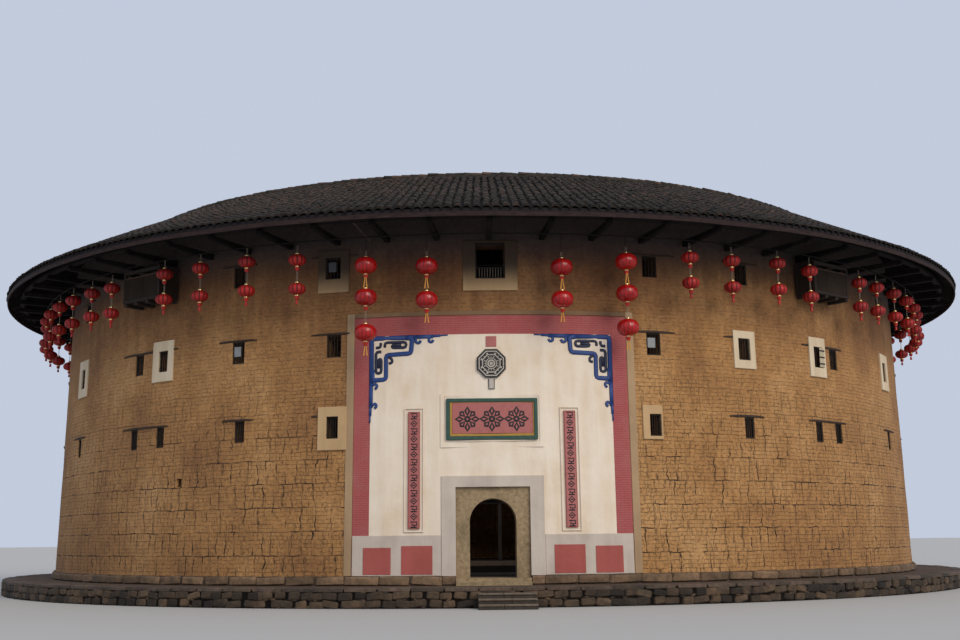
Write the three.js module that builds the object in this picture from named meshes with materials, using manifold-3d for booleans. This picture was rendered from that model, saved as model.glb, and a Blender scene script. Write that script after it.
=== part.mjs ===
// A round earth-walled tulou: a four-storey ring building round an open courtyard, at half its real size.
// Millimetres, +Z up. The origin is on the ground, on the building's axis, and the gate faces -Y.
import * as THREE from "three";
import { mergeVertices } from "three/addons/utils/BufferGeometryUtils.js";
import Module from "manifold-3d";

const wasm = await Module();
wasm.setup();

// Driving dimensions, as metres of the full-size building.
const MODEL_SCALE = 0.5;
const metres = (length) => length * 1000 * MODEL_SCALE;
const BAYS = 34;
const RING_FACETS = 2 * BAYS;

const TERRACE_RADIUS = 21.0;
const TERRACE_TOP = 0.6;
const COURT_RADIUS = 11.7;
const GROUND_FLOOR_TOP = 0.8;
const PLINTH_TOP = 0.9;
const PLINTH_PROUD = 0.05;

const WALL_FOOT_RADIUS = 19.0;
const WALL_BATTER = 0.0248;
const WALL_INNER_RADIUS = 17.65;

const RIDGE_RADIUS = 16.2;
const RIDGE_HEIGHT = 14.95;
const RIDGE_CAP_HEIGHT = 0.12;
const RIDGE_CAP_HALF_WIDTH = 0.2;
const OUTER_EAVE_RADIUS = 21.45;
const INNER_EAVE_RADIUS = 10.95;
const EAVE_TOP = 12.42;
const ROOF_THICKNESS = 0.3;

const GATE_HALF_WIDTH = 1.2;
const GATE_HEAD = 3.7;
const GATE_SILL_TOP = 0.82;
const GATE_STONE_FACE = 18.85;
const ARCH_RADIUS = 0.75;
const ARCH_SPRINGING = 2.58;

// Each pair of touching solids keeps this gap, in the model's own millimetres and in full-size metres.
const GAP = 0.4;
const gap = GAP / metres(1);

// A length that reaches past everything in the building, for the shapes that cut it.
const BEYOND = 3 * OUTER_EAVE_RADIUS;

// The middles of the four quarters that the base, roof, eaves and lanterns are made in.
const QUARTERS = { front: 0, right: 90, back: 180, left: 270 };
const HALF_QUARTER = 45;

// Upper floors, their windows and the azimuths of the openings, in degrees from the gate.
const FLOOR_TOPS = [4.45, 7.15, 9.85];
const FLOOR_THICKNESS = 0.22;
const GALLERY_EDGE_RADIUS = 11.95;
const GALLERY_RAIL_HEIGHT = 1.0;
const GALLERY_RAIL_THICKNESS = 0.12;
const POST_RADIUS = 12.3;
const POST_WIDTH = 0.2;
const RING_BEAM_HEIGHT = 0.24;
const UNSEEN_SIDE = [74, 90, 105.5, 121, 136.5, 152, 166, 180, -74, -90, -105.5, -121, -136.5, -152, -166];
const WINDOW_ROWS = [
  {
    sill: 5.35,
    head: 6.08,
    width: 0.42,
    azimuths: [-58.3, -43.3, -38.5, -27.0, -16.2, 16.8, 28.3, 39.2, 43.0, 58.1],
  },
  {
    sill: 8.07,
    head: 8.83,
    width: 0.52,
    azimuths: [-58.3, -43.0, -38.5, -27.5, -16.2, 17.0, 28.1, 39.8, 43.0, 58.1],
  },
  {
    sill: 10.75,
    head: 11.5,
    width: 0.55,
    azimuths: [-58.3, -27.6, -16.4, 16.9, 28.3, 58.1],
  },
];
const CENTRE_WINDOW = { azimuth: 0, width: 1.0, sill: 10.58, head: 11.81 };
const VENT_HOLE = { azimuth: -35.0, width: 0.25, sill: 3.93, head: 4.22 };
const LOOKOUT_AZIMUTHS = { front_right: 39.7, back_right: 140.3, back_left: -140.3, front_left: -39.7 };
const LOOKOUT_DOOR = { width: 0.8, sill: 10.75, head: 11.75 };
const LOOKOUT_CLEARANCE = 6;

// Lanterns, with the heights of their middles on each kind of string and the front's strings by azimuth.
const LANTERN_RADIUS = 0.33;
const LANTERN_HEIGHT = 0.5;
const LANTERN_RING_RADIUS = 19.8;
const RAIL_HALF = 0.03;
const RAIL_MIDDLE = 11.86;
const SIDE_HEIGHTS = [11.32, 10.4];
const NEAR_GATE_HEIGHTS = [10.8, 9.72];
const TRIPLE_HEIGHTS = [10.95, 9.9, 8.8];
const FRONT_STRINGS = [
  [-53.9, SIDE_HEIGHTS],
  [-48.6, SIDE_HEIGHTS],
  [-44.2, SIDE_HEIGHTS],
  [-35.2, SIDE_HEIGHTS],
  [-30.2, SIDE_HEIGHTS],
  [-24.5, SIDE_HEIGHTS],
  [-18.9, SIDE_HEIGHTS],
  [-11.9, TRIPLE_HEIGHTS],
  [-6.2, NEAR_GATE_HEIGHTS],
  [6.6, NEAR_GATE_HEIGHTS],
  [13.0, TRIPLE_HEIGHTS],
  [19.8, SIDE_HEIGHTS],
  [24.6, SIDE_HEIGHTS],
  [30.5, SIDE_HEIGHTS],
  [35.2, SIDE_HEIGHTS],
  [44.2, SIDE_HEIGHTS],
  [48.3, SIDE_HEIGHTS],
  [53.6, SIDE_HEIGHTS],
];

const STONE = new THREE.MeshStandardMaterial({ color: 0x6f675c, roughness: 0.95, metalness: 0 });
const GRANITE = new THREE.MeshStandardMaterial({ color: 0x9a8f78, roughness: 0.9, metalness: 0 });
const EARTH = new THREE.MeshStandardMaterial({ color: 0xa67a45, roughness: 1, metalness: 0 });
const PLASTER = new THREE.MeshStandardMaterial({ color: 0xe6dcc8, roughness: 0.9, metalness: 0 });
const PINK_PLASTER = new THREE.MeshStandardMaterial({ color: 0xa85a5c, roughness: 0.9, metalness: 0 });
const TILE = new THREE.MeshStandardMaterial({ color: 0x3a3733, roughness: 0.85, metalness: 0 });
const TIMBER = new THREE.MeshStandardMaterial({ color: 0x4b3728, roughness: 0.85, metalness: 0 });
const LANTERN_SILK = new THREE.MeshStandardMaterial({ color: 0xb3121a, roughness: 0.55, metalness: 0 });
const SIGN_PAINT = new THREE.MeshStandardMaterial({ color: 0x2f5a4a, roughness: 0.6, metalness: 0 });

const house = new THREE.Group();

// A closed three.js geometry as a manifold-3d solid.
function solid(geometry) {
  const bare = new THREE.BufferGeometry();
  bare.setAttribute("position", geometry.getAttribute("position"));
  if (geometry.index) bare.setIndex(geometry.index);
  const merged = mergeVertices(bare, 1e-3);
  const corners = merged.index.array;
  const kept = [];
  for (let i = 0; i < corners.length; i += 3) {
    const [a, b, c] = [corners[i], corners[i + 1], corners[i + 2]];
    if (a !== b && b !== c && c !== a) kept.push(a, b, c);
  }
  return new wasm.Manifold(
    new wasm.Mesh({
      numProp: 3,
      vertProperties: merged.attributes.position.array,
      triVerts: new Uint32Array(kept),
    }),
  );
}

// A manifold-3d solid as a named mesh in the group it belongs to.
function addNode(name, made, material, group = house) {
  const { vertProperties, triVerts } = made.getMesh();
  const geometry = new THREE.BufferGeometry();
  geometry.setAttribute("position", new THREE.BufferAttribute(new Float32Array(vertProperties), 3));
  geometry.setIndex(new THREE.BufferAttribute(new Uint32Array(triVerts), 1));
  geometry.computeVertexNormals();
  const mesh = new THREE.Mesh(geometry, material);
  mesh.name = name;
  group.add(mesh);
  return mesh;
}

// A section of [radius, height] corners in metres, turned round the building's axis.
function ring(section, facets = RING_FACETS) {
  const corners = section.map(([radius, height]) => new THREE.Vector2(metres(radius), metres(height)));
  if (THREE.ShapeUtils.area(corners) < 0) corners.reverse();
  corners.push(corners[0].clone());
  const geometry = new THREE.LatheGeometry(corners, facets).rotateX(Math.PI / 2);
  return solid(geometry);
}

// The part of space between two azimuths, as a tall prism.
function wedge(from, to) {
  const reach = metres(BEYOND);
  const at = (degrees) => {
    const angle = THREE.MathUtils.degToRad(degrees);
    return new THREE.Vector2(reach * Math.sin(angle), -reach * Math.cos(angle));
  };
  const outline = new THREE.Shape([new THREE.Vector2(0, 0), at(from), at((from + to) / 2), at(to)]);
  const prism = new THREE.ExtrudeGeometry(outline, { depth: 2 * reach, bevelEnabled: false });
  return solid(prism.translate(0, 0, -reach));
}

// What a ring keeps between two azimuths, short of its neighbours by the gap.
function sector(whole, from, to) {
  const margin = THREE.MathUtils.radToDeg(GAP / metres(COURT_RADIUS));
  return whole.intersect(wedge(from + margin, to - margin));
}

// A box on the radius at an azimuth, between two radii and two heights.
function radialBox(azimuth, width, innerRadius, outerRadius, bottom, top) {
  const depth = outerRadius - innerRadius;
  const geometry = new THREE.BoxGeometry(metres(width), metres(depth), metres(top - bottom));
  geometry.translate(0, -metres((innerRadius + outerRadius) / 2), metres((top + bottom) / 2));
  return solid(geometry.rotateZ(THREE.MathUtils.degToRad(azimuth)));
}

// A box square to the axes, from its lowest to its highest corner.
function box(low, high) {
  const size = high.map((value, i) => metres(value - low[i]));
  const geometry = new THREE.BoxGeometry(...size);
  return solid(geometry.translate(...low.map((value, i) => metres(value) + size[i] / 2)));
}

const wallRadius = (height) => WALL_FOOT_RADIUS - WALL_BATTER * height;
const roofPitch = (RIDGE_HEIGHT - EAVE_TOP) / (OUTER_EAVE_RADIUS - RIDGE_RADIUS);
const roofUnderside = (radius) => RIDGE_HEIGHT - ROOF_THICKNESS - roofPitch * Math.abs(radius - RIDGE_RADIUS);

// The stone base: terrace, wall footing and the ground storey's floor, in four quarters.
function addStoneBase() {
  const footing = wallRadius(TERRACE_TOP) + PLINTH_PROUD;
  const whole = ring([
    [COURT_RADIUS, 0],
    [TERRACE_RADIUS, 0],
    [TERRACE_RADIUS, TERRACE_TOP],
    [footing, TERRACE_TOP],
    [footing, PLINTH_TOP],
    [WALL_INNER_RADIUS, PLINTH_TOP],
    [WALL_INNER_RADIUS, GROUND_FLOOR_TOP],
    [COURT_RADIUS, GROUND_FLOOR_TOP],
  ]);
  const halfGate = GATE_HALF_WIDTH + gap;
  const sillInner = WALL_INNER_RADIUS - 0.2;
  const gateway = box([-halfGate, -TERRACE_RADIUS, TERRACE_TOP], [halfGate, -sillInner, BEYOND]);
  for (const [side, middle] of Object.entries(QUARTERS)) {
    const quarter = sector(whole, middle - HALF_QUARTER, middle + HALF_QUARTER);
    addNode(`stone_base_${side}`, side === "front" ? quarter.subtract(gateway) : quarter, STONE);
  }
}

// Three treads in front of the gate; the terrace is the fourth rise.
function addFrontSteps() {
  const STEP_CENTRE = 0.35;
  const STEP_HALF_WIDTH = 0.88;
  const TREAD = 0.33;
  const RISES = 4;
  const BUTT = 0.2;
  const outline = new THREE.Shape();
  outline.moveTo(metres(BUTT), 0);
  outline.lineTo(-metres((RISES - 1) * TREAD), 0);
  for (let step = 1; step < RISES; step += 1) {
    const edge = -(RISES - step) * TREAD;
    const back = step === RISES - 1 ? BUTT : edge + TREAD;
    const height = metres((step * TERRACE_TOP) / RISES);
    outline.lineTo(metres(edge), height);
    outline.lineTo(metres(back), height);
  }
  outline.closePath();
  const width = metres(2 * STEP_HALF_WIDTH);
  const flight = new THREE.ExtrudeGeometry(outline, { depth: width, bevelEnabled: false });
  flight.rotateX(Math.PI / 2).rotateZ(Math.PI / 2);
  flight.translate(metres(STEP_CENTRE - STEP_HALF_WIDTH), -metres(TERRACE_RADIUS), 0);
  const terrace = ring([
    [COURT_RADIUS, -TERRACE_TOP],
    [TERRACE_RADIUS + gap, -TERRACE_TOP],
    [TERRACE_RADIUS + gap, 2 * TERRACE_TOP],
    [COURT_RADIUS, 2 * TERRACE_TOP],
  ]);
  addNode("front_steps", solid(flight).subtract(terrace), GRANITE);
}

// The rammed-earth wall, windows cut through: two pieces beside the gate, one over it, six round the rest.
function addOuterWall() {
  const outerTop = (roofUnderside(WALL_FOOT_RADIUS) - gap) / (1 - roofPitch * WALL_BATTER);
  let whole = ring([
    [WALL_INNER_RADIUS, PLINTH_TOP + gap],
    [wallRadius(PLINTH_TOP), PLINTH_TOP + gap],
    [wallRadius(outerTop), outerTop],
    [WALL_INNER_RADIUS, roofUnderside(WALL_INNER_RADIUS) - gap],
  ]);
  const openings = [CENTRE_WINDOW, VENT_HOLE];
  const lookouts = Object.values(LOOKOUT_AZIMUTHS);
  for (const row of WINDOW_ROWS) {
    const isTop = row === WINDOW_ROWS.at(-1);
    for (const azimuth of [...row.azimuths, ...UNSEEN_SIDE]) {
      const atLookout = lookouts.some((middle) => Math.abs(middle - azimuth) < LOOKOUT_CLEARANCE);
      if (!(isTop && atLookout)) openings.push({ ...row, azimuth });
    }
  }
  for (const azimuth of lookouts) openings.push({ ...LOOKOUT_DOOR, azimuth });
  const cutInner = WALL_INNER_RADIUS - 0.5;
  const cutOuter = WALL_FOOT_RADIUS + 0.5;
  for (const { azimuth, width, sill, head } of openings) {
    whole = whole.subtract(radialBox(azimuth, width, cutInner, cutOuter, sill, head));
  }

  const FRONT_END = 22;
  const ROUND_ENDS = [FRONT_END, 85.2, 148.4, 175, 211.6, 274.8, 360 - FRONT_END];
  const overGate = box([-GATE_HALF_WIDTH, -BEYOND, GATE_HEAD], [GATE_HALF_WIDTH, 0, BEYOND]);
  const halfGate = GATE_HALF_WIDTH + gap;
  const besideGate = box([-halfGate, -BEYOND, 0], [halfGate, 0, BEYOND]);
  addNode("wall_front_left", sector(whole, -FRONT_END, 0).subtract(besideGate), EARTH);
  addNode("wall_front_right", sector(whole, 0, FRONT_END).subtract(besideGate), EARTH);
  addNode("wall_over_gate", whole.intersect(overGate), EARTH);
  for (let i = 1; i < ROUND_ENDS.length; i += 1) {
    addNode(`wall_round_${i}`, sector(whole, ROUND_ENDS[i - 1], ROUND_ENDS[i]), EARTH);
  }
}

// The gate's granite sill, jambs and arched head.
function addGate() {
  const inner = -WALL_INNER_RADIUS;
  const face = -GATE_STONE_FACE;
  const sillBottom = TERRACE_TOP + gap;
  const LOW_STEP = { proud: 0.55, top: 0.7 };
  const SILL_PROUD = 0.2;
  const inside = [GATE_HALF_WIDTH, inner];
  const across = (proud, top) => box([-GATE_HALF_WIDTH, face - proud, sillBottom], [...inside, top]);
  const lowStep = across(LOW_STEP.proud, LOW_STEP.top);
  const sill = across(SILL_PROUD, GATE_SILL_TOP);
  addNode("gate_sill", lowStep.add(sill), GRANITE);
  const stoneBottom = GATE_SILL_TOP + gap;
  for (const [side, sign] of [["left", -1], ["right", 1]]) {
    const [low, high] = [sign * ARCH_RADIUS, sign * (GATE_HALF_WIDTH - gap)].sort((a, b) => a - b);
    const jamb = box([low, face, stoneBottom], [high, inner, ARCH_SPRINGING - gap]);
    addNode(`gate_jamb_${side}`, jamb, GRANITE);
  }
  const head = new THREE.Shape();
  const halfWidth = metres(GATE_HALF_WIDTH - gap);
  head.moveTo(-halfWidth, metres(ARCH_SPRINGING));
  head.lineTo(-metres(ARCH_RADIUS), metres(ARCH_SPRINGING));
  head.absarc(0, metres(ARCH_SPRINGING), metres(ARCH_RADIUS), Math.PI, 0, true);
  head.lineTo(halfWidth, metres(ARCH_SPRINGING));
  head.lineTo(halfWidth, metres(GATE_HEAD - gap));
  head.lineTo(-halfWidth, metres(GATE_HEAD - gap));
  head.closePath();
  const arch = new THREE.ExtrudeGeometry(head, {
    depth: metres(inner - face),
    bevelEnabled: false,
    curveSegments: 14,
  });
  arch.rotateX(Math.PI / 2).translate(0, metres(inner), 0);
  addNode("gate_arch", solid(arch), GRANITE);
}

// A thin layer on the wall's outer face, between two heights, standing out from one offset to another.
function wallLayer(bottom, top, from, to) {
  return ring([
    [wallRadius(bottom) + from, bottom],
    [wallRadius(bottom) + to, bottom],
    [wallRadius(top) + to, top],
    [wallRadius(top) + from, top],
  ]);
}

// The plastered front round the gate, with its border, signboard, strips and plaque.
function addFacade() {
  const BOTTOM = PLINTH_TOP + gap;
  const COAT = 0.04;
  const PANEL = { edge: 12.2, top: 8.7 };
  const BORDER = { edge: 13.9, top: 9.33 };
  const SURROUND = { halfWidth: 1.65, top: 4.05, proud: 0.09 };
  const frontBox = (halfWidth, top) => box([-halfWidth, -BEYOND, 0], [halfWidth, 0, top]);

  const coat = wallLayer(BOTTOM, PANEL.top, gap, COAT);
  const surroundOutline = frontBox(SURROUND.halfWidth + gap, SURROUND.top + gap);
  addNode("facade_plaster", sector(coat, -PANEL.edge, PANEL.edge).subtract(surroundOutline), PLASTER);

  const panelOutline = wedge(-PANEL.edge, PANEL.edge).intersect(frontBox(BEYOND, PANEL.top + gap));
  const borderCoat = sector(wallLayer(BOTTOM, BORDER.top, gap, COAT), -BORDER.edge, BORDER.edge);
  addNode("facade_border", borderCoat.subtract(panelOutline), PINK_PLASTER);

  const surroundRing = wallLayer(BOTTOM, SURROUND.top, gap, SURROUND.proud);
  const surround = surroundRing.intersect(frontBox(SURROUND.halfWidth, SURROUND.top));
  addNode("gate_surround", surround.subtract(frontBox(GATE_HALF_WIDTH, GATE_HEAD)), PLASTER);

  // A raised field on the plaster, between two heights and two azimuths.
  const raised = ({ bottom, top, edge, proud }, middle = 0) =>
    sector(wallLayer(bottom, top, COAT + gap, proud), middle - edge, middle + edge);
  const MOULDING = { bottom: 4.97, top: 6.72, edge: 5.1, proud: 0.1 };
  const BOARD = { bottom: 5.21, top: 6.56, edge: 4.5, proud: 0.15 };
  addNode("signboard", raised(MOULDING).add(raised(BOARD)), SIGN_PAINT);

  const STRIP_AZIMUTH = 7.7;
  const STRIP_FRAME = { bottom: 2.28, top: 6.28, edge: 0.98, proud: 0.07 };
  const STRIP = { bottom: 2.4, top: 6.14, edge: 0.54, proud: 0.1 };
  for (const [side, middle] of [["left", -STRIP_AZIMUTH], ["right", STRIP_AZIMUTH]]) {
    addNode(`door_strip_${side}`, raised(STRIP_FRAME, middle).add(raised(STRIP, middle)), PINK_PLASTER);
  }

  const PLAQUE = { height: 7.71, radius: 0.52, thickness: 0.06, sides: 8, clearance: 0.04 };
  const radius = metres(PLAQUE.radius);
  const plaque = new THREE.CylinderGeometry(radius, radius, metres(PLAQUE.thickness), PLAQUE.sides);
  const node = addNode("trigram_plaque", solid(plaque.rotateY(Math.PI / PLAQUE.sides)), GRANITE);
  const face = wallRadius(PLAQUE.height - PLAQUE.radius) + COAT + PLAQUE.clearance;
  node.position.set(0, -metres(face), metres(PLAQUE.height));
}

// The tiled roof: an outer and an inner slope that meet at a ridge, each in four quarters.
function addRoof() {
  const slope = (eaveRadius) => {
    const outward = Math.sign(eaveRadius - RIDGE_RADIUS);
    const ridge = RIDGE_RADIUS + outward * gap;
    const capEdge = RIDGE_RADIUS + outward * RIDGE_CAP_HALF_WIDTH;
    const capTop = RIDGE_HEIGHT + RIDGE_CAP_HEIGHT;
    return ring([
      [eaveRadius, EAVE_TOP - ROOF_THICKNESS],
      [eaveRadius, EAVE_TOP],
      [capEdge, RIDGE_HEIGHT - roofPitch * RIDGE_CAP_HALF_WIDTH],
      [capEdge, capTop],
      [ridge, capTop],
      [ridge, RIDGE_HEIGHT - ROOF_THICKNESS],
    ]);
  };
  const outer = slope(OUTER_EAVE_RADIUS);
  const inner = slope(INNER_EAVE_RADIUS);
  for (const [side, middle] of Object.entries(QUARTERS)) {
    addNode(`roof_outer_${side}`, sector(outer, middle - HALF_QUARTER, middle + HALF_QUARTER), TILE);
    addNode(`roof_inner_${side}`, sector(inner, middle - HALF_QUARTER, middle + HALF_QUARTER), TILE);
  }
}

// Cantilever beams out of the wall's head with the eave purlin on their ends, in four quarters.
function addEaveBeams() {
  const BEAM = { bottom: 11.9, top: 12.12, width: 0.18, end: 20.95 };
  const PURLIN = { inner: 20.68, outer: 20.92, bottom: 12.1, top: 12.35 };
  const ROOTED = 0.02;
  const purlin = ring([
    [PURLIN.inner, PURLIN.bottom],
    [PURLIN.outer, PURLIN.bottom],
    [PURLIN.outer, PURLIN.top],
    [PURLIN.inner, PURLIN.top],
  ]);
  const perQuarter = RING_FACETS / 4;
  const beamStart = wallRadius(BEAM.bottom) + ROOTED;
  for (const [side, middle] of Object.entries(QUARTERS)) {
    let made = sector(purlin, middle - HALF_QUARTER, middle + HALF_QUARTER);
    for (let i = 0; i < perQuarter; i += 1) {
      const azimuth = middle + (i - (perQuarter - 1) / 2) * (360 / RING_FACETS);
      made = made.add(radialBox(azimuth, BEAM.width, beamStart, BEAM.end, BEAM.bottom, BEAM.top));
    }
    addNode(`eave_beams_${side}`, made, TIMBER);
  }
}

// The strings of the front, then one at every second beam round the rest, clear of the lookouts.
function lanternStrings() {
  const strings = [...FRONT_STRINGS];
  const FIRST_SIDE_STRING = 59;
  const HIDDEN_BY_LOOKOUT = 4.5;
  for (let azimuth = FIRST_SIDE_STRING; azimuth < 180; azimuth += 360 / BAYS) {
    const atLookout = Math.abs(azimuth - LOOKOUT_AZIMUTHS.back_right) < HIDDEN_BY_LOOKOUT;
    if (!atLookout) for (const sign of [-1, 1]) strings.push([sign * azimuth, SIDE_HEIGHTS]);
  }
  return strings;
}

// One string: lanterns of few sides on a thin cord, with a tassel below.
function lanternString(azimuth, heights) {
  const SIDES = 5;
  const CORD = 0.02;
  const BELLY = 0.13;
  const TASSEL = 0.4;
  const half = LANTERN_HEIGHT / 2;
  const outline = [[0, RAIL_MIDDLE], [CORD, RAIL_MIDDLE]];
  for (const middle of heights) {
    outline.push([CORD, middle + half], [LANTERN_RADIUS, middle + BELLY]);
    outline.push([LANTERN_RADIUS, middle - BELLY], [CORD, middle - half]);
  }
  const lowest = heights.at(-1) - half - TASSEL;
  outline.push([CORD, lowest], [0, lowest]);
  const corner = ([radius, height]) => new THREE.Vector2(metres(radius), metres(height));
  const geometry = new THREE.LatheGeometry(outline.reverse().map(corner), SIDES).rotateX(Math.PI / 2);
  geometry.translate(0, -metres(LANTERN_RING_RADIUS), 0);
  return solid(geometry.rotateZ(THREE.MathUtils.degToRad(azimuth)));
}

// Strings of red lanterns hung from a thin rail under the beams, in four quarters.
function addLanterns() {
  const rail = ring([
    [LANTERN_RING_RADIUS - RAIL_HALF, RAIL_MIDDLE - RAIL_HALF],
    [LANTERN_RING_RADIUS + RAIL_HALF, RAIL_MIDDLE - RAIL_HALF],
    [LANTERN_RING_RADIUS + RAIL_HALF, RAIL_MIDDLE + RAIL_HALF],
    [LANTERN_RING_RADIUS - RAIL_HALF, RAIL_MIDDLE + RAIL_HALF],
  ]);
  const strings = lanternStrings();
  for (const [side, middle] of Object.entries(QUARTERS)) {
    let made = sector(rail, middle - HALF_QUARTER, middle + HALF_QUARTER);
    for (const [azimuth, heights] of strings) {
      const turn = Math.abs(((azimuth - middle + 540) % 360) - 180);
      if (turn < HALF_QUARTER) made = made.add(lanternString(azimuth, heights));
    }
    addNode(`lanterns_${side}`, made, LANTERN_SILK);
  }
}

// The four lookout boxes under the eaves: a timber floor and a parapet on three sides.
function addLookouts() {
  const HALF_WIDTH = 1.06;
  const FRONT = 19.6;
  const HEIGHTS = { bottom: 10.5, floorTop: 10.72, parapetTop: 11.5, plateBottom: 11.68, top: 11.8 };
  const THICKNESS = 0.14;
  const POST = 0.12;
  const back = wallRadius(HEIGHTS.bottom) + 0.01;
  const slotHalf = HALF_WIDTH - POST;
  const outside = box([-HALF_WIDTH, -FRONT, HEIGHTS.bottom], [HALF_WIDTH, -back, HEIGHTS.top]);
  const hollow = box(
    [-HALF_WIDTH + THICKNESS, -FRONT + THICKNESS, HEIGHTS.floorTop],
    [HALF_WIDTH - THICKNESS, 0, BEYOND],
  );
  const slotFront = box([-slotHalf, -BEYOND, HEIGHTS.parapetTop], [slotHalf, 0, HEIGHTS.plateBottom]);
  const slotSides = box(
    [-BEYOND, -FRONT + POST, HEIGHTS.parapetTop],
    [BEYOND, -back - POST, HEIGHTS.plateBottom],
  );
  const lookout = outside.subtract(hollow).subtract(slotFront).subtract(slotSides);
  for (const [corner, azimuth] of Object.entries(LOOKOUT_AZIMUTHS)) {
    const turned = new THREE.Group();
    turned.rotation.z = THREE.MathUtils.degToRad(azimuth);
    house.add(turned);
    addNode(`lookout_${corner}`, lookout, TIMBER, turned);
  }
}

// The timber floors of the three upper storeys, each with the gallery's rail along the courtyard.
function addFloors() {
  const outerEdge = WALL_INNER_RADIUS - 0.05;
  FLOOR_TOPS.forEach((top, i) => {
    const railInner = GALLERY_EDGE_RADIUS + GALLERY_RAIL_THICKNESS;
    const section = [
      [GALLERY_EDGE_RADIUS, top - FLOOR_THICKNESS],
      [outerEdge, top - FLOOR_THICKNESS],
      [outerEdge, top],
      [railInner, top],
      [railInner, top + GALLERY_RAIL_HEIGHT],
      [GALLERY_EDGE_RADIUS, top + GALLERY_RAIL_HEIGHT],
    ];
    addNode(`gallery_floor_${i + 2}`, ring(section, BAYS), TIMBER);
  });
}

// The courtyard-side posts of each storey under their ring beam, which carries the next floor or the roof.
function addGalleryPosts() {
  const half = POST_WIDTH / 2;
  const inset = half - 0.01;
  const flat = POST_RADIUS * Math.cos(Math.PI / BAYS);
  const storeyFloors = [GROUND_FLOOR_TOP, ...FLOOR_TOPS];
  const roofBeamTop = roofUnderside((POST_RADIUS - half) * Math.cos(Math.PI / BAYS)) - gap;
  storeyFloors.forEach((floor, i) => {
    const top = i < FLOOR_TOPS.length ? FLOOR_TOPS[i] - FLOOR_THICKNESS - gap : roofBeamTop;
    let made = ring(
      [
        [POST_RADIUS - half, top - RING_BEAM_HEIGHT],
        [POST_RADIUS + half, top - RING_BEAM_HEIGHT],
        [POST_RADIUS + half, top],
        [POST_RADIUS - half, top],
      ],
      BAYS,
    );
    for (let bay = 0; bay < BAYS; bay += 1) {
      const azimuth = ((bay + 0.5) * 360) / BAYS;
      const postTop = top - RING_BEAM_HEIGHT / 2;
      made = made.add(radialBox(azimuth, POST_WIDTH, flat - inset, flat + inset, floor + gap, postTop));
    }
    addNode(`gallery_posts_${i + 1}`, made, TIMBER);
  });
}

addStoneBase();
addFrontSteps();
addOuterWall();
addGate();
addFacade();
addRoof();
addEaveBeams();
addLanterns();
addLookouts();
addFloors();
addGalleryPosts();

export default house;
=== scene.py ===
# A round rammed-earth tulou at half its real size: earth wall, plastered gate front, lantern strings and
# lookouts under wide eaves, a tiled roof and timber galleries round the courtyard.
import math

import bpy
import numpy as np
from mathutils import Matrix, Vector


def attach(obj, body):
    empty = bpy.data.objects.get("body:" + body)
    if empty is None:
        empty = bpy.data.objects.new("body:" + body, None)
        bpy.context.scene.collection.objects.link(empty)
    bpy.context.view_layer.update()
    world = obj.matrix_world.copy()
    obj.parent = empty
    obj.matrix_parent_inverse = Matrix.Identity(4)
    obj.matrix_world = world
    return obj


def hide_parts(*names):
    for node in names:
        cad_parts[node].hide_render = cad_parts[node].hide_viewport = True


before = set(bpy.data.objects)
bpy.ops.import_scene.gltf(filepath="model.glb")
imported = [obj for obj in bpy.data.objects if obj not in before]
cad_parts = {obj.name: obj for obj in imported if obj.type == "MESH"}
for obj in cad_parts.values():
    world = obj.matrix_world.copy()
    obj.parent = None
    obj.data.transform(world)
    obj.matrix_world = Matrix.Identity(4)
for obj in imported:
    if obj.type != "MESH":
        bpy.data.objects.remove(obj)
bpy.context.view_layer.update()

# Lengths are metres of the full-size building; settle() brings each finished piece to the model's size.
MODEL_SCALE = 0.5
BAYS = 34
TERRACE_RADIUS = 21.0
TERRACE_TOP = 0.6
PLINTH_TOP = 0.9
WALL_FOOT_RADIUS = 19.0
WALL_BATTER = 0.0248
WALL_INNER_RADIUS = 17.65
LIFT = 0.26
RIDGE_RADIUS = 16.2
RIDGE_HEIGHT = 14.95
OUTER_EAVE_RADIUS = 21.45
INNER_EAVE_RADIUS = 10.95
EAVE_TOP = 12.42
ROOF_THICKNESS = 0.3
ROOF_PITCH = (RIDGE_HEIGHT - EAVE_TOP) / (OUTER_EAVE_RADIUS - RIDGE_RADIUS)
GATE_HALF_WIDTH = 1.2
GATE_HEAD = 3.7
FLOOR_TOPS = [4.45, 7.15, 9.85]
GALLERY_EDGE_RADIUS = 11.95
SEAM = 0.001
QUARTERS = {"front": 0.0, "right": 90.0, "back": 180.0, "left": -90.0}

# Window rows as sill, head, width and the azimuths of those in view, in degrees from the gate.
SECOND_STOREY = (5.35, 6.08, 0.42, [-58.3, -43.3, -38.5, -27.0, -16.2, 16.8, 28.3, 39.2, 43.0, 58.1])
THIRD_STOREY = (8.07, 8.83, 0.52, [-58.3, -43.0, -38.5, -27.5, -16.2, 17.0, 28.1, 39.8, 43.0, 58.1])
FOURTH_STOREY = (10.75, 11.5, 0.55, [-58.3, -27.6, -16.4, 16.9, 28.3, 58.1])
UNSEEN_SIDE = [74, 90, 105.5, 121, 136.5, 152, 166, 180, -74, -90, -105.5, -121, -136.5, -152, -166]
CENTRE_WINDOW = (10.58, 11.81, 1.0)
VENT_HOLE = (-35.0, 3.93, 4.22, 0.25)
LOOKOUT_AZIMUTHS = {"front_right": 39.7, "back_right": 140.3, "back_left": -140.3, "front_left": -39.7}
LOOKOUT_DOOR = (10.75, 11.75, 0.8)


def roof_top(radius):
    """The height of the roof's upper face at a radius."""
    return RIDGE_HEIGHT - ROOF_PITCH * np.abs(radius - RIDGE_RADIUS)


def wall_radius(height):
    """The outer radius of the battered wall at a height."""
    return WALL_FOOT_RADIUS - WALL_BATTER * height


def along(azimuth):
    """An azimuth in degrees as the length along the wall's foot, as the flattened pieces measure it."""
    return math.radians(azimuth) * WALL_FOOT_RADIUS


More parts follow.
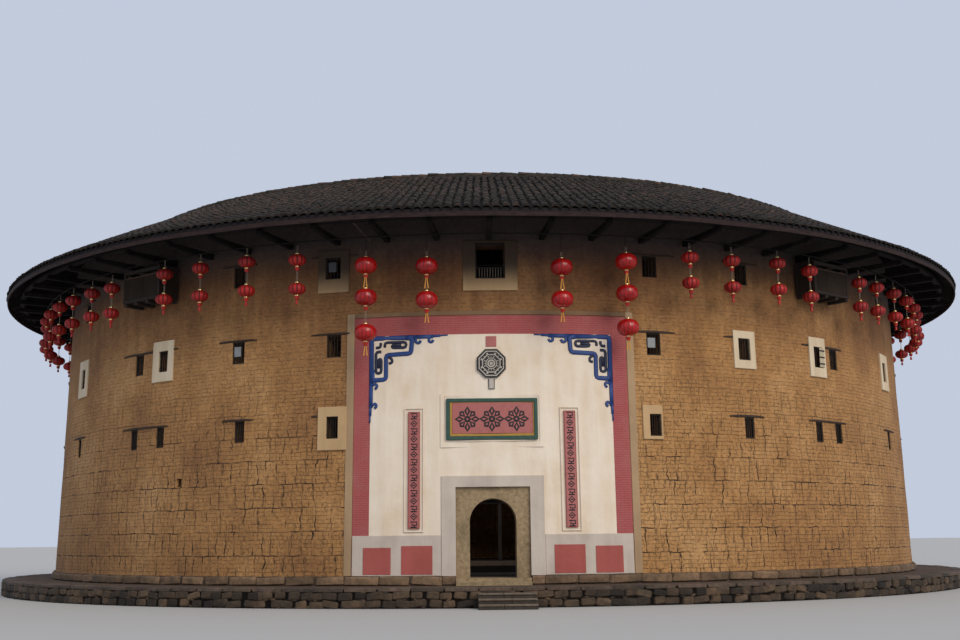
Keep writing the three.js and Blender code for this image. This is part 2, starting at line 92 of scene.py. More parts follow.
# Making shapes.
def choose(*pieces):
    """Selects exactly these pieces, the first as the active one."""
    bpy.ops.object.select_all(action="DESELECT")
    for piece in pieces:
        piece.select_set(True)
    if pieces:
        bpy.context.view_layer.objects.active = pieces[0]


def primitive(operator, **settings):
    """A mesh primitive with its place, turn and size applied: the start of a piece."""
    choose()
    operator(**settings)
    bpy.ops.object.transform_apply(location=True, rotation=True, scale=True)
    return bpy.context.object


def edit(piece, *steps):
    """Runs edit-mode operators on a piece; each step is an operator and its settings."""
    choose(piece)
    bpy.ops.object.mode_set(mode="EDIT")
    for operator, settings in steps:
        operator(**settings)
    bpy.ops.object.mode_set(mode="OBJECT")
    return piece


ALL = (bpy.ops.mesh.select_all, {"action": "SELECT"})
NONE = (bpy.ops.mesh.select_all, {"action": "DESELECT"})
OUTWARD = (bpy.ops.mesh.normals_make_consistent, {"inside": False})
MERGE = (bpy.ops.mesh.remove_doubles, {"threshold": 0.0002})
FILL = (bpy.ops.mesh.fill_holes, {"sides": 0})
DELETE_FACES = (bpy.ops.mesh.delete, {"type": "FACE"})


def extrude(rise):
    return bpy.ops.mesh.extrude_region_move, {"TRANSFORM_OT_translate": {"value": (0, 0, rise)}}


def read(items, name, width=1, kind=np.float64):
    """One attribute of all a mesh's corners, faces or loops as an array."""
    found = np.empty(len(items) * width, dtype=kind)
    items.foreach_get(name, found)
    return found.reshape(-1, width) if width > 1 else found


def coordinates(piece):
    """The places of a piece's corners, one row each."""
    return read(piece.data.vertices, "co", 3)


def place_corners(piece, points):
    piece.data.vertices.foreach_set("co", np.ascontiguousarray(points).ravel())
    piece.data.update()


def place_round(piece, angle, radius, height):
    """Moves a piece's corners to these angles, radii and heights round the building's axis."""
    place_corners(piece, np.stack([radius * np.sin(angle), -radius * np.cos(angle), height], axis=1))
    return piece


def bevel(piece, width):
    """Eases a piece's edges; with no width they stay sharp."""
    if width:
        choose(piece)
        modifier = piece.modifiers.new("eased_edges", "BEVEL")
        modifier.width = width
        modifier.segments = 1
        modifier.limit_method = "ANGLE"
        modifier.angle_limit = 0.6
        bpy.ops.object.modifier_apply(modifier=modifier.name)
    return piece


def smooth(piece, degrees=40):
    choose(piece)
    bpy.ops.object.shade_smooth_by_angle(angle=math.radians(degrees))
    return piece


def paint(piece, material):
    piece.data.materials.clear()
    piece.data.materials.append(material)
    return piece


def shift(piece, x, y, z):
    piece.data.transform(Matrix.Translation((x, y, z)))
    return piece


def join(parts):
    """Several pieces as one."""
    choose(*parts)
    if len(parts) > 1:
        bpy.ops.object.join()
    return parts[0]


def settle(name, parts, slot, *nodes):
    """The finished piece at the model's size, riding on the building and standing for its solids."""
    piece = join(parts)
    piece.name = name
    piece.data.transform(Matrix.Scale(MODEL_SCALE, 4))
    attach(piece, "root")
    if nodes:
        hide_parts(*nodes)


def steps_between(low, high, step):
    """Even places from low to high, no further apart than a step."""
    rounding = 1e-6
    return np.linspace(low, high, max(1, math.ceil((high - low) / step - rounding)) + 1)


def grid(columns, rows):
    """A flat grid with its columns and rows at the given places."""
    counts = {"x_subdivisions": len(columns) - 1, "y_subdivisions": len(rows) - 1}
    piece = primitive(bpy.ops.mesh.primitive_grid_add, **counts)
    across, up = np.meshgrid(columns, rows)
    place_corners(piece, np.stack([across.ravel(), up.ravel(), np.zeros(across.size)], axis=1))
    return piece


def cut_out(piece, holes):
    """Deletes the faces of a flat grid that lie in one of the holes (left, right, bottom, top)."""
    bpy.context.tool_settings.mesh_select_mode = (False, False, True)
    edit(piece, NONE)
    middles = read(piece.data.polygons, "center", 3)
    inside = np.zeros(len(middles), dtype=bool)
    for left, right, bottom, top in holes:
        across = (middles[:, 0] > left) & (middles[:, 0] < right)
        inside |= across & (middles[:, 1] > bottom) & (middles[:, 1] < top)
    piece.data.polygons.foreach_set("select", inside)
    return edit(piece, DELETE_FACES)


def thicken(piece, low, high, edge):
    """Gives a flat piece its thickness, from one depth to another, and eases its edges."""
    points = coordinates(piece)
    points[:, 2] = low
    place_corners(piece, points)
    edit(piece, ALL, extrude(high - low), ALL, OUTWARD)
    return bevel(piece, edge)


def slab(low, high, edge=0.01, step=0.5):
    """A board between two corners of the flattened wall (along, up, out), with enough columns to bend."""
    flat = grid(steps_between(low[0], high[0], step), [low[1], high[1]])
    return thicken(flat, low[2], high[2], edge)


def window_frame(columns, rows, low, high, edge=0.008):
    """A flat frame: the middle cell of three by three is left open."""
    flat = cut_out(grid(columns, rows), [(columns[1], columns[2], rows[1], rows[2])])
    return thicken(flat, low, high, edge)


def block(low, high, edge=0.01):
    """A box between two corners, its edges eased."""
    middle = [(a + b) / 2 for a, b in zip(low, high)]
    size = [b - a for a, b in zip(low, high)]
    return bevel(primitive(bpy.ops.mesh.primitive_cube_add, size=1, location=middle, scale=size), edge)


def cylinder(sides, radius, depth, **settings):
    return primitive(
        bpy.ops.mesh.primitive_cylinder_add, vertices=sides, radius=radius, depth=depth, **settings
    )


def cone(sides, foot, head, depth, height):
    """A tapered stick or cup on the axis, its middle at a height."""
    settings = {"vertices": sides, "radius1": foot, "radius2": head, "depth": depth}
    return primitive(bpy.ops.mesh.primitive_cone_add, location=(0, 0, height), **settings)


def stroke(points, width, relief, closed=False):
    """A raised, round-edged line drawn through flat points (along, up), standing out by its relief."""
    curve = bpy.data.curves.new("stroke", "CURVE")
    curve.dimensions = "3D"
    curve.bevel_depth = width / 2
    curve.bevel_resolution = 1
    curve.use_fill_caps = not closed
    spline = curve.splines.new("POLY")
    spline.points.add(len(points) - 1)
    for corner, (x, y) in zip(spline.points, points):
        corner.co = (x, y, 0, 1)
    spline.use_cyclic_u = closed
    line = bpy.data.objects.new("stroke", curve)
    bpy.context.collection.objects.link(line)
    choose(line)
    bpy.ops.object.convert(target="MESH")
    piece = bpy.context.object
    points = coordinates(piece)
    points[:, 2] *= relief / (width / 2)
    place_corners(piece, points)
    return edit(piece, ALL, MERGE, OUTWARD)


def square(near, far, low, high):
    """The section of a squared timber that runs round the building, as (radius, height) corners."""
    return [(near, low), (far, low), (far, high), (near, high)]


def log(radius, height, thickness, sides=8):
    """The section of a log that runs round the building."""
    turns = [(k + 0.5) * math.tau / sides for k in range(sides)]
    return [(radius + thickness * math.cos(t), height + thickness * math.sin(t)) for t in turns]


def turned(section, step, low=0, high=360):
    """A closed ring or part of one: a section of (radius, height) corners carried between two azimuths."""
    rows = np.array([*section, section[0]])
    piece = grid(np.radians(steps_between(low, high, step)), range(len(rows)))
    points = coordinates(piece)
    radius, height = rows[points[:, 1].astype(int)].T
    place_round(piece, points[:, 0], radius, height)
    edit(piece, ALL, MERGE)
    if high - low < 360:
        edit(piece, ALL, FILL)
    return edit(piece, ALL, OUTWARD)


def around(azimuth, radius, height, turn=(0.0, 0.0, 0.0), size=(1.0, 1.0, 1.0)):
    """The matrix of a copy whose -Y side faces out at an azimuth, after its own turn and stretch."""
    angle = math.radians(azimuth)
    spot = Vector((radius * math.sin(angle), -radius * math.cos(angle), height))
    about_x, about_y, about_z = (Matrix.Rotation(amount, 4, axis) for amount, axis in zip(turn, "XYZ"))
    own = about_z @ about_y @ about_x
    return Matrix.Translation(spot) @ Matrix.Rotation(angle, 4, "Z") @ own @ Matrix.Diagonal((*size, 1.0))


def spun(azimuth):
    """The matrix that carries a copy made at the gate to an azimuth in degrees."""
    return Matrix.Rotation(math.radians(azimuth), 4, "Z")


def copies(template, places, degrees=40):
    """One piece of a modelled piece's copies, each with its own matrix and its own shade, -0.5 to 0.5."""
    mesh = template.data
    points = coordinates(template)
    corners = read(mesh.loops, "vertex_index", kind=np.int32)
    starts = read(mesh.polygons, "loop_start", kind=np.int32)
    slots = read(mesh.polygons, "material_index", kind=np.int32)
    count = len(places)
    turns = np.array([[list(row) for row in place] for place in places])
    placed = np.einsum("nij,pj->npi", turns[:, :3, :3], points) + turns[:, None, :3, 3]
    number = np.arange(count, dtype=np.int32)[:, None]
    joined = bpy.data.meshes.new("copies")
    joined.vertices.add(count * len(points))
    joined.vertices.foreach_set("co", placed.ravel())
    joined.loops.add(count * len(corners))
    joined.loops.foreach_set("vertex_index", (corners + number * len(points)).ravel())
    joined.polygons.add(count * len(starts))
    joined.polygons.foreach_set("loop_start", (starts + number * len(corners)).ravel())
    joined.polygons.foreach_set("material_index", np.tile(slots, count))
    joined.update(calc_edges=True)
    for material in mesh.materials:
        joined.materials.append(material)
    shades = np.random.default_rng(count).uniform(-0.5, 0.5, count)
    shade = joined.attributes.new("shade", "FLOAT", "POINT")
    shade.data.foreach_set("value", np.repeat(shades, len(points)))
    piece = bpy.data.objects.new("copies", joined)
    bpy.context.collection.objects.link(piece)
    bpy.data.objects.remove(template)
    return smooth(piece, degrees)


def keep_flat_places(piece):
    """Stores where each corner lies on the flattened wall, in metres, for patterns that follow the wall."""
    layer = piece.data.uv_layers.new(name="flat")
    points = coordinates(piece)[read(piece.data.loops, "vertex_index", kind=np.int32)]
    layer.data.foreach_set("uv", (points[:, :2] + points[:, 2:]).ravel())


def on_wall(piece, material):
    """Bends a flattened piece (along, up, out) round the battered wall and paints it."""
    points = coordinates(piece)
    angle = points[:, 0] / WALL_FOOT_RADIUS
    place_round(piece, angle, wall_radius(points[:, 1]) + points[:, 2], points[:, 1])
    return paint(piece, material)


def swell(azimuth, height, finest, seed):
    """A smooth random field, 0 to 1, that closes after a full turn; finest is its shortest wave in metres."""
    chance = np.random.default_rng(seed)
    waves = 18
    field = 0.0
    for _ in range(waves):
        length = finest * chance.uniform(1.0, 4.0)
        heading = chance.uniform(0.0, math.pi)
        turns = round(math.cos(heading) * math.tau * WALL_FOOT_RADIUS / length)
        rise = math.sin(heading) * math.tau / length
        field = field + np.cos(turns * azimuth + rise * height + chance.uniform(0.0, math.tau))
    return 0.5 + 0.5 * np.tanh(field / math.sqrt(waves))


# Materials. A noise's scale is one over the size of its patches, in full-size metres.
def srgb(code):
    """A hex colour as the linear values that shaders take."""
    parts = [int(code[i : i + 2], 16) / 255 for i in (0, 2, 4)]
    return [c / 12.92 if c <= 0.04045 else ((c + 0.055) / 1.055) ** 2.4 for c in parts] + [1.0]


def add(tree, kind, inputs, out=0, stops=(), **settings):
    """A node with its settings, ramp stops and inputs (by order or name), set or linked; gives one output."""
    node = tree.nodes.new("ShaderNode" + kind)
    for name, value in settings.items():
        setattr(node, name, value)
    for i, (position, colour) in enumerate(stops):
        stop = node.color_ramp.elements[i] if i < 2 else node.color_ramp.elements.new(position)
        stop.position = position
        stop.color = colour
    for key, value in inputs.items() if isinstance(inputs, dict) else enumerate(inputs):
        if isinstance(value, bpy.types.NodeSocket):
            tree.links.new(value, node.inputs[key])
        else:
            node.inputs[key].default_value = value
    return node.outputs[out]


# What a Mix node needs to mix two colours (inputs 6 and 7) by a share (input 0), and to multiply them.
COLOURS = {"out": 2, "data_type": "RGBA"}
PRODUCT = {**COLOURS, "blend_type": "MULTIPLY"}


def surface(name, roughness, shine=0.5):
    """A new material and its node tree; soot and dust leave less shine than the 0.5 of a clean face."""
    material = bpy.data.materials.new(name)
    material.use_nodes = True
    tree = material.node_tree
    shader = tree.nodes["Principled BSDF"]
    shader.inputs["Roughness"].default_value = roughness
    shader.inputs["IOR"].default_value = 1.5
    shader.inputs["Specular IOR Level"].default_value = shine
    return material, tree


def finish(material, colour, height, depth):
    """The material with its colour and a bump of a real depth in metres linked."""
    tree = material.node_tree
    shader = tree.nodes["Principled BSDF"]
    bump = add(tree, "Bump", {"Height": height, "Distance": depth * MODEL_SCALE, "Strength": 1.0})
    tree.links.new(colour, shader.inputs["Base Color"])
    tree.links.new(bump, shader.inputs["Normal"])
    return material


def real_place(tree):
    """Where a point is on the full-size building, in metres."""
    here = add(tree, "TexCoord", {}, "Object")
    return add(tree, "Mapping", {"Vector": here, "Scale": [1 / MODEL_SCALE] * 3})


# The earth's joints and cracks: length, height and width in metres, offset, wave of the gaps between them,
# the heights where they fade out, and their strength. Thin tamped layers, blocks, then upright cracks.
EARTH_LINES = [
    (0.6, LIFT / 2, 0.008, 0.36, 5.2, (6.5, 12.0), 0.62),
    (0.19, LIFT, 0.011, 0.5, 3.1, (5.2, 9.2), 0.45),
    (0.43, 2 * LIFT, 0.01, 0.5, 2.6, (4.5, 9.5), 0.55),
    (0.37, 3 * LIFT, 0.02, 0.29, 1.7, (4.8, 7.8), 1.0),
]


def earth_hollows(tree, face, here, height):
    """The share of joint or crack at each point, 0 to 1: ragged brick patterns broken up by noise."""
    sway = add(tree, "TexNoise", {"Vector": here, "Scale": 1.9, "Detail": 6.0, "Roughness": 0.65}, "Color")
    centred = add(tree, "VectorMath", [sway, (0.5, 0.5, 0.5)], operation="SUBTRACT")
    ragged = add(tree, "VectorMath", [centred, (0.38, 0.15, 0.0), face], operation="MULTIPLY_ADD")
    hollow = None
    for length, rise, width, offset, wave, (full, faded), most in EARTH_LINES:
        brick = {"Vector": ragged, "Scale": 1.0, "Brick Width": length, "Row Height": rise}
        brick |= {"Mortar Size": width, "Mortar Smooth": 0.4}
        joint = add(tree, "TexBrick", brick, "Fac", offset=offset, squash=1.45, squash_frequency=3)
        moved = add(tree, "Mapping", {"Vector": here, "Location": (13 * offset, 7 * offset, 0.0)})
        broken = add(tree, "TexNoise", {"Vector": moved, "Scale": wave, "Detail": 4.0, "Roughness": 0.6})
        shown = add(tree, "MapRange", [broken, 0.43, 0.58, 0.0, most])
        level = add(tree, "MapRange", [height, full, faded, 1.0, 0.1])
        share = add(tree, "Math", [shown, level], operation="MULTIPLY")
        gaps = add(tree, "Math", [share, joint], operation="MULTIPLY")
        hollow = add(tree, "Math", [hollow, gaps], operation="MAXIMUM") if hollow else gaps
    return hollow


def make_rammed_earth():
    """Bare rammed earth: tamped lifts, shrinkage cracks low down, and darkening up under the eaves that is
    partly smoke and soot and partly painted shade.
    Its grit and pits are drawn in patches of about 150 mm, coarser than the real ones, so that they show."""
    material, tree = surface("rammed_earth", 0.95)
    face = add(tree, "UVMap", {}, uv_map="flat")
    height = add(tree, "SeparateXYZ", [face], "Y")
    here = real_place(tree)
    hollow = earth_hollows(tree, face, here, height)
    drift = add(tree, "TexNoise", {"Vector": here, "Scale": 0.3, "Detail": 6.0, "Roughness": 0.65})
    tones = [(0.3, srgb("885f3a")), (0.72, srgb("bb905f")), (0.5, srgb("a47848"))]
    ground = add(tree, "ValToRGB", [drift], stops=tones)
    rain = add(tree, "Mapping", {"Vector": here, "Scale": (2.2, 2.2, 0.16)})
    streak = add(tree, "TexNoise", {"Vector": rain, "Scale": 1.0, "Detail": 5.0})
    aside = add(tree, "Math", [add(tree, "SeparateXYZ", [face], "X")], operation="ABSOLUTE")
    by_gate = add(tree, "MapRange", [aside, 5.0, 8.5, 0.9, 0.0])
    raised = add(tree, "Math", [height, by_gate], operation="ADD")
    lowered = add(tree, "Math", [streak, 4.0, raised], operation="MULTIPLY_ADD")
    # Darker brown rising towards the eaves, starting lower by the gate and in streaks: partly smoke, partly
    # painted shade.
    smoke_and_shade_share = add(tree, "MapRange", [lowered, 10.1, 14.9])
    brown = add(tree, "Mix", {0: smoke_and_shade_share, 6: ground, 7: srgb("5a3521")}, **COLOURS)
    # Near-black just under the eaves: partly soot, partly painted shade.
    soot_and_shade_share = add(tree, "MapRange", [height, 10.9, 12.0, 0.0, 0.95])
    stained = add(tree, "Mix", {0: soot_and_shade_share, 6: brown, 7: srgb("463d3a")}, **COLOURS)
    grit = add(tree, "TexNoise", {"Vector": here, "Scale": 7.0, "Detail": 7.0, "Roughness": 0.75})
    speck = add(tree, "MapRange", [grit, 0.3, 0.7, 0.7, 1.26])
    gritty = add(tree, "Mix", {0: 1.0, 6: stained, 7: speck}, **PRODUCT)
    flat_pit = add(tree, "Mapping", {"Vector": here, "Scale": (6.5, 6.5, 11.0)})
    pit = add(tree, "TexVoronoi", {"Vector": flat_pit, "Scale": 1.0, "Randomness": 1.0}, "Distance")
    picked = add(tree, "SeparateColor", [pit.node.outputs["Color"]])
    reach = add(tree, "MapRange", [picked, 0.55, 1.0, 0.0, 0.36])
    inside = add(tree, "Math", [reach, pit], operation="SUBTRACT")
    pitted = add(tree, "MapRange", [inside, 0.0, 0.12, 0.0, 0.5])
    pocked = add(tree, "Mix", {0: pitted, 6: gritty, 7: srgb("4a3020")}, **COLOURS)
    colour = add(tree, "Mix", {0: hollow, 6: pocked, 7: srgb("2b1c12")}, **COLOURS)
    level = add(tree, "Math", [hollow, -1.0, 1.0], operation="MULTIPLY_ADD")
    rough = add(tree, "Math", [grit, 0.5, level], operation="MULTIPLY_ADD")
    return finish(material, colour, rough, 0.05)


def make_plaster(name, pale, dark, soot_and_shade_depth=0.0, shine=0.5):
    """Hand-trowelled lime plaster: cloudy tone, faint runs of dirt, and, where asked for, darkening up under
    the eaves that is partly soot and partly painted shade.
    """
    material, tree = surface(name, 0.9, shine)
    here = real_place(tree)
    clouds = add(tree, "TexNoise", {"Vector": here, "Scale": 0.8, "Detail": 5.0, "Roughness": 0.6})
    runs = add(tree, "Mapping", {"Vector": here, "Scale": (2.5, 2.5, 0.35)})
    dirt = add(tree, "TexNoise", {"Vector": runs, "Scale": 1.0, "Detail": 4.0})
    both = add(tree, "Math", [clouds, dirt], operation="MULTIPLY")
    share = add(tree, "MapRange", [both, 0.16, 0.4, 0.0, 0.6])
    colour = add(tree, "Mix", {0: share, 6: srgb(pale), 7: srgb(dark)}, **COLOURS)
    if soot_and_shade_depth:
        # Darker up under the eaves: partly soot, partly painted shade.
        height = add(tree, "SeparateXYZ", [here], "Z")
        by_eave = add(tree, "MapRange", [height, 9.9, 11.15, 0.0, soot_and_shade_depth], interpolation_type="SMOOTHSTEP")
        colour = add(tree, "Mix", {0: by_eave, 6: colour, 7: srgb("2b1e18")}, **COLOURS)
    trowel = add(tree, "TexNoise", {"Vector": here, "Scale": 4.0, "Detail": 5.0})
    return finish(material, colour, trowel, 0.012)


def make_brick_wash(name, wash, joint):
    """Faded red limewash over the faint joints of brick courses 75 mm high."""
    material, tree = surface(name, 0.88)
    here = real_place(tree)
    across, up = add(tree, "SeparateXYZ", [here], "X"), add(tree, "SeparateXYZ", [here], "Z")
    brick = {"Vector": add(tree, "CombineXYZ", [across, up]), "Scale": 1.0}
    brick |= {"Color1": srgb(wash), "Color2": srgb(wash), "Mortar": srgb(joint)}
    brick |= {"Mortar Size": 0.006, "Mortar Smooth": 0.6, "Brick Width": 0.26, "Row Height": 0.075}
    bricks = add(tree, "TexBrick", brick)
    fade = add(tree, "TexNoise", {"Vector": here, "Scale": 1.2, "Detail": 5.0, "Roughness": 0.65})
    share = add(tree, "MapRange", [fade, 0.4, 0.75, 0.0, 0.5])
    colour = add(tree, "Mix", {0: share, 6: bricks, 7: srgb("a86d67")}, **COLOURS)
    level = add(tree, "Math", [1.0, bricks.node.outputs["Fac"]], operation="SUBTRACT")
    return finish(material, colour, level, 0.006)


def make_stone(name, pale, dark, moss, grain, spread=0.3):
    """Worn stone: mineral grain in metres, damp stains, a patchy film of lichen and a tone of its own."""
    material, tree = surface(name, 0.88)
    here = real_place(tree)
    speckle = add(tree, "TexNoise", {"Vector": here, "Scale": 1.0 / grain, "Detail": 4.0, "Roughness": 0.7})
    share = add(tree, "MapRange", [speckle, 0.3, 0.7])
    mineral = add(tree, "Mix", {0: share, 6: srgb(dark), 7: srgb(pale)}, **COLOURS)
    damp = add(tree, "TexNoise", {"Vector": here, "Scale": 1.4, "Detail": 5.0, "Roughness": 0.6})
    film = add(tree, "MapRange", [damp, 0.45, 0.7, 0.0, 0.7])
    stained = add(tree, "Mix", {0: film, 6: mineral, 7: srgb(moss)}, **COLOURS)
    own = add(tree, "Attribute", {}, "Fac", attribute_name="shade")
    tone = add(tree, "MapRange", [own, -0.5, 0.5, 1.0 - spread, 1.0 + spread])
    colour = add(tree, "Mix", {0: 1.0, 6: stained, 7: tone}, **PRODUCT)
    return finish(material, colour, speckle, 0.02)


def make_terrace_core():
    """The terrace's body: worn paving on top, and below it near-black, dark earth with painted shade between
    the stones of its face.
    """
    material, tree = surface("terrace_core", 0.95, 0.2)
    here = real_place(tree)
    height = add(tree, "SeparateXYZ", [here], "Z")
    on_top = add(tree, "MapRange", [height, TERRACE_TOP - 0.06, TERRACE_TOP - 0.01])
    grain = add(tree, "TexNoise", {"Vector": here, "Scale": 3.0, "Detail": 6.0, "Roughness": 0.7})
    paving = add(tree, "Mix", {0: grain, 6: srgb("372c24"), 7: srgb("66564a")}, **COLOURS)
    # Below the paving, near-black: dark earth and painted shade in the gaps between the rubble stones.
    colour = add(tree, "Mix", {0: on_top, 6: srgb("100c0a"), 7: paving}, **COLOURS)
    return finish(material, colour, grain, 0.02)


def make_timber(name, pale, dark, along_grain=(8.0, 8.0, 0.7), shine=0.4):
    """Old unpainted fir: long grain, greyed where it is worn, darker in its checks."""
    material, tree = surface(name, 0.82, shine)
    here = real_place(tree)
    grain = add(tree, "Mapping", {"Vector": here, "Scale": along_grain})
    fibre = add(tree, "TexNoise", {"Vector": grain, "Scale": 1.6, "Detail": 6.0, "Roughness": 0.7})
    share = add(tree, "MapRange", [fibre, 0.35, 0.65])
    wood = add(tree, "Mix", {0: share, 6: srgb(dark), 7: srgb(pale)}, **COLOURS)
    own = add(tree, "Attribute", {}, "Fac", attribute_name="shade")
    tone = add(tree, "MapRange", [own, -0.5, 0.5, 0.65, 1.35])
    colour = add(tree, "Mix", {0: 1.0, 6: wood, 7: tone}, **PRODUCT)
    return finish(material, colour, fibre, 0.008)


# The tiles overlap so far that three of them show in each modelled course.
TILES_PER_COURSE = 3.0


def make_roof_tile():
    """Unglazed grey clay tiles: each fired a little differently, with soot, dust and brown lichen; painted
    shade in the pans, a painted shadow under each tile's lower edge, and darker towards the eave.
    """
    material, tree = surface("roof_tile_clay", 0.9, 0.3)
    tile = add(tree, "UVMap", {}, uv_map="flat")
    laid_close = add(tree, "VectorMath", [tile, (1.0, TILES_PER_COURSE, 1.0)], operation="MULTIPLY")
    number = add(tree, "VectorMath", [laid_close], operation="FLOOR")
    own = add(tree, "Attribute", {}, "Fac", attribute_name="shade")
    fired = add(tree, "TexWhiteNoise", [number, own], noise_dimensions="4D")
    tones = [(0.0, srgb("1f1b17")), (1.0, srgb("5c4335")), (0.6, srgb("342d26")), (0.85, srgb("48372d"))]
    clay = add(tree, "ValToRGB", [fired], stops=tones)
    here = real_place(tree)
    film = add(tree, "TexNoise", {"Vector": here, "Scale": 0.9, "Detail": 6.0, "Roughness": 0.7})
    share = add(tree, "MapRange", [film, 0.42, 0.68, 0.0, 0.6])
    aged = add(tree, "Mix", {0: share, 6: clay, 7: srgb("342d24")}, **COLOURS)
    pores = add(tree, "TexNoise", {"Vector": here, "Scale": 14.0, "Detail": 4.0})
    speck = add(tree, "MapRange", [pores, 0.0, 1.0, 0.7, 1.3])
    speckled = add(tree, "Mix", {0: 1.0, 6: aged, 7: speck}, **PRODUCT)
    across = add(tree, "SeparateXYZ", [tile], "X")
    turn = add(tree, "Math", [across, math.pi, -math.pi / 2], operation="MULTIPLY_ADD")
    wave = add(tree, "Math", [turn], operation="COSINE")
    # Painted shade in the hollow pans between the cover tiles.
    pan_shade_share = add(tree, "MapRange", [wave, 0.6, 0.85, 0.0, 0.92])
    laid = add(tree, "Mix", {0: pan_shade_share, 6: speckled, 7: srgb("060505")}, **COLOURS)
    # Painted shadow just under each tile's lower edge.
    in_lap = add(tree, "Math", [add(tree, "SeparateXYZ", [laid_close], "Y")], operation="FRACT")
    shaded = add(tree, "MapRange", [in_lap, 0.66, 0.95, 1.0, 0.4])
    lapped = add(tree, "Mix", {0: 1.0, 6: laid, 7: shaded}, **PRODUCT)
    # Darker towards the eave.
    darker_to_eave = add(tree, "MapRange", [add(tree, "SeparateXYZ", [here], "Z"), 12.6, 13.4, 0.5, 1.0])
    colour = add(tree, "Mix", {0: 1.0, 6: lapped, 7: darker_to_eave}, **PRODUCT)
    worn = add(tree, "Math", [pores, 0.4, shaded], operation="MULTIPLY_ADD")
    return finish(material, colour, worn, 0.02)


def make_paint(name, fresh, worn):
    """Oil paint on board or relief, chalked a little by the weather."""
    material, tree = surface(name, 0.6)
    here = real_place(tree)
    chalk = add(tree, "TexNoise", {"Vector": here, "Scale": 6.0, "Detail": 6.0, "Roughness": 0.7})
    share = add(tree, "MapRange", [chalk, 0.48, 0.75, 0.0, 0.8])
    colour = add(tree, "Mix", {0: share, 6: srgb(fresh), 7: srgb(worn)}, **COLOURS)
    return finish(material, colour, chalk, 0.004)


def make_silk(name, bright, deep, roughness):
    """Red silk stretched on ribs: a satin face of cloudy depth; the darker of these silks are laid in the
    folds between the ribs as painted shade.
    """
    material, tree = surface(name, roughness)
    here = real_place(tree)
    fold = add(tree, "TexNoise", {"Vector": here, "Scale": 7.0, "Detail": 3.0})
    own = add(tree, "Attribute", {}, "Fac", attribute_name="shade")
    both = add(tree, "Math", [own, 0.22, fold], operation="MULTIPLY_ADD")
    share = add(tree, "MapRange", [both, 0.2, 0.6])
    colour = add(tree, "Mix", {0: share, 6: srgb(deep), 7: srgb(bright)}, **COLOURS)
    return finish(material, colour, fold, 0.004)


def make_brass():
    """Gilt sheet brass on the lanterns' collars, rubbed dull."""
    material, tree = surface("gilt_brass", 0.28)
    tree.nodes["Principled BSDF"].inputs["Metallic"].default_value = 1.0
    rub = add(tree, "TexNoise", {"Vector": real_place(tree), "Scale": 9.0, "Detail": 4.0})
    colour = add(tree, "Mix", {0: rub, 6: srgb("e6bd74"), 7: srgb("f8e0a6")}, **COLOURS)
    return finish(material, colour, rub, 0.002)


EARTH = make_rammed_earth()
WHITE_PLASTER = make_plaster("white_lime_plaster", "e6d9c8", "d0b898")
GREY_PLASTER = make_plaster("grey_lime_plaster", "c4b8ac", "a3968a")
CREAM_PLASTER = make_plaster("cream_lime_plaster", "d3c3a8", "b39a76")
# Its darkening under the eaves is partly soot and partly painted shade.
OCHRE_PLASTER = make_plaster("yellowed_lime_plaster", "bc9d74", "9b7c55", soot_and_shade_depth=0.93)
EDGE_PLASTER = make_plaster("lean_lime_plaster", "a98d6c", "8a7257")
THIN_COAT = make_plaster("thin_lime_coat", "80654a", "6a4f38")
PLAQUE_STONE = make_plaster("plaque_plaster", "b5aea4", "938c82")
WATTLE = make_plaster("weathered_wattle_plaster", "352c25", "1b1713", shine=0.1)
RIDGE_MORTAR = make_plaster("weathered_ridge_mortar", "2b2621", "1c1916")
PINK_WASH = make_brick_wash("faded_red_limewash", "a4504f", "87413f")
PINK_PLAIN = make_plaster("plain_red_limewash", "a7554f", "8e463f")
GRANITE = make_stone("dressed_granite", "a89270", "7b694f", "64563f", 0.12)
RUBBLE = make_stone("field_rubble", "503f2e", "2b2016", "29241b", 0.22, 0.75)
TERRACE_CORE = make_terrace_core()
COPING = make_stone("coping_stone", "5e4d41", "372c24", "302c20", 0.2, 0.4)
FOOTING = make_stone("footing_stone", "83684f", "544130", "423927", 0.2)
TREAD_STONE = make_stone("worn_tread_stone", "76685a", "54493d", "463f31", 0.12)
# The risers are darker than the treads: painted shade on the upright faces.
SHADED_RISER_STONE = make_stone("riser_stone_painted_shade", "463c33", "2e2721", "28251c", 0.12)
TILE = make_roof_tile()
TIMBER = make_timber("aged_fir", "5a4230", "33251b")
DARK_TIMBER = make_timber("dark_fir", "33271f", "1a1411")
LINTEL_TIMBER = make_timber("lintel_fir", "46352a", "261c16")
WINDOW_TIMBER = make_timber("window_fir", "2a211b", "15100d")
# Rafters, boards, the lantern rail and the cords' upper ends: near-black, partly soot and partly painted
# shade that keeps the soffit dark.
SMOKE_BLACK_SHADED_TIMBER = make_timber("smoke_black_fir_with_painted_shade", "2d282a", "1f1b1d", shine=0.1)
# Darker still than the soffit: partly smoke, partly painted shade that sinks the beams' lit ends into the
# soffit.
BEAM_TIMBER = make_timber("smoke_black_beam_fir_with_painted_shade", "262223", "1a1718", shine=0.1)
WORN_TIMBER = make_timber("worn_fir", "6e6259", "40372f")
FASCIA_TIMBER = make_timber("fascia_fir", "382827", "1f1716", (2.0, 2.0, 9.0), 0.2)
LANTERN_RED = make_silk("red_lantern_silk", "b41913", "800d0d", 0.55)
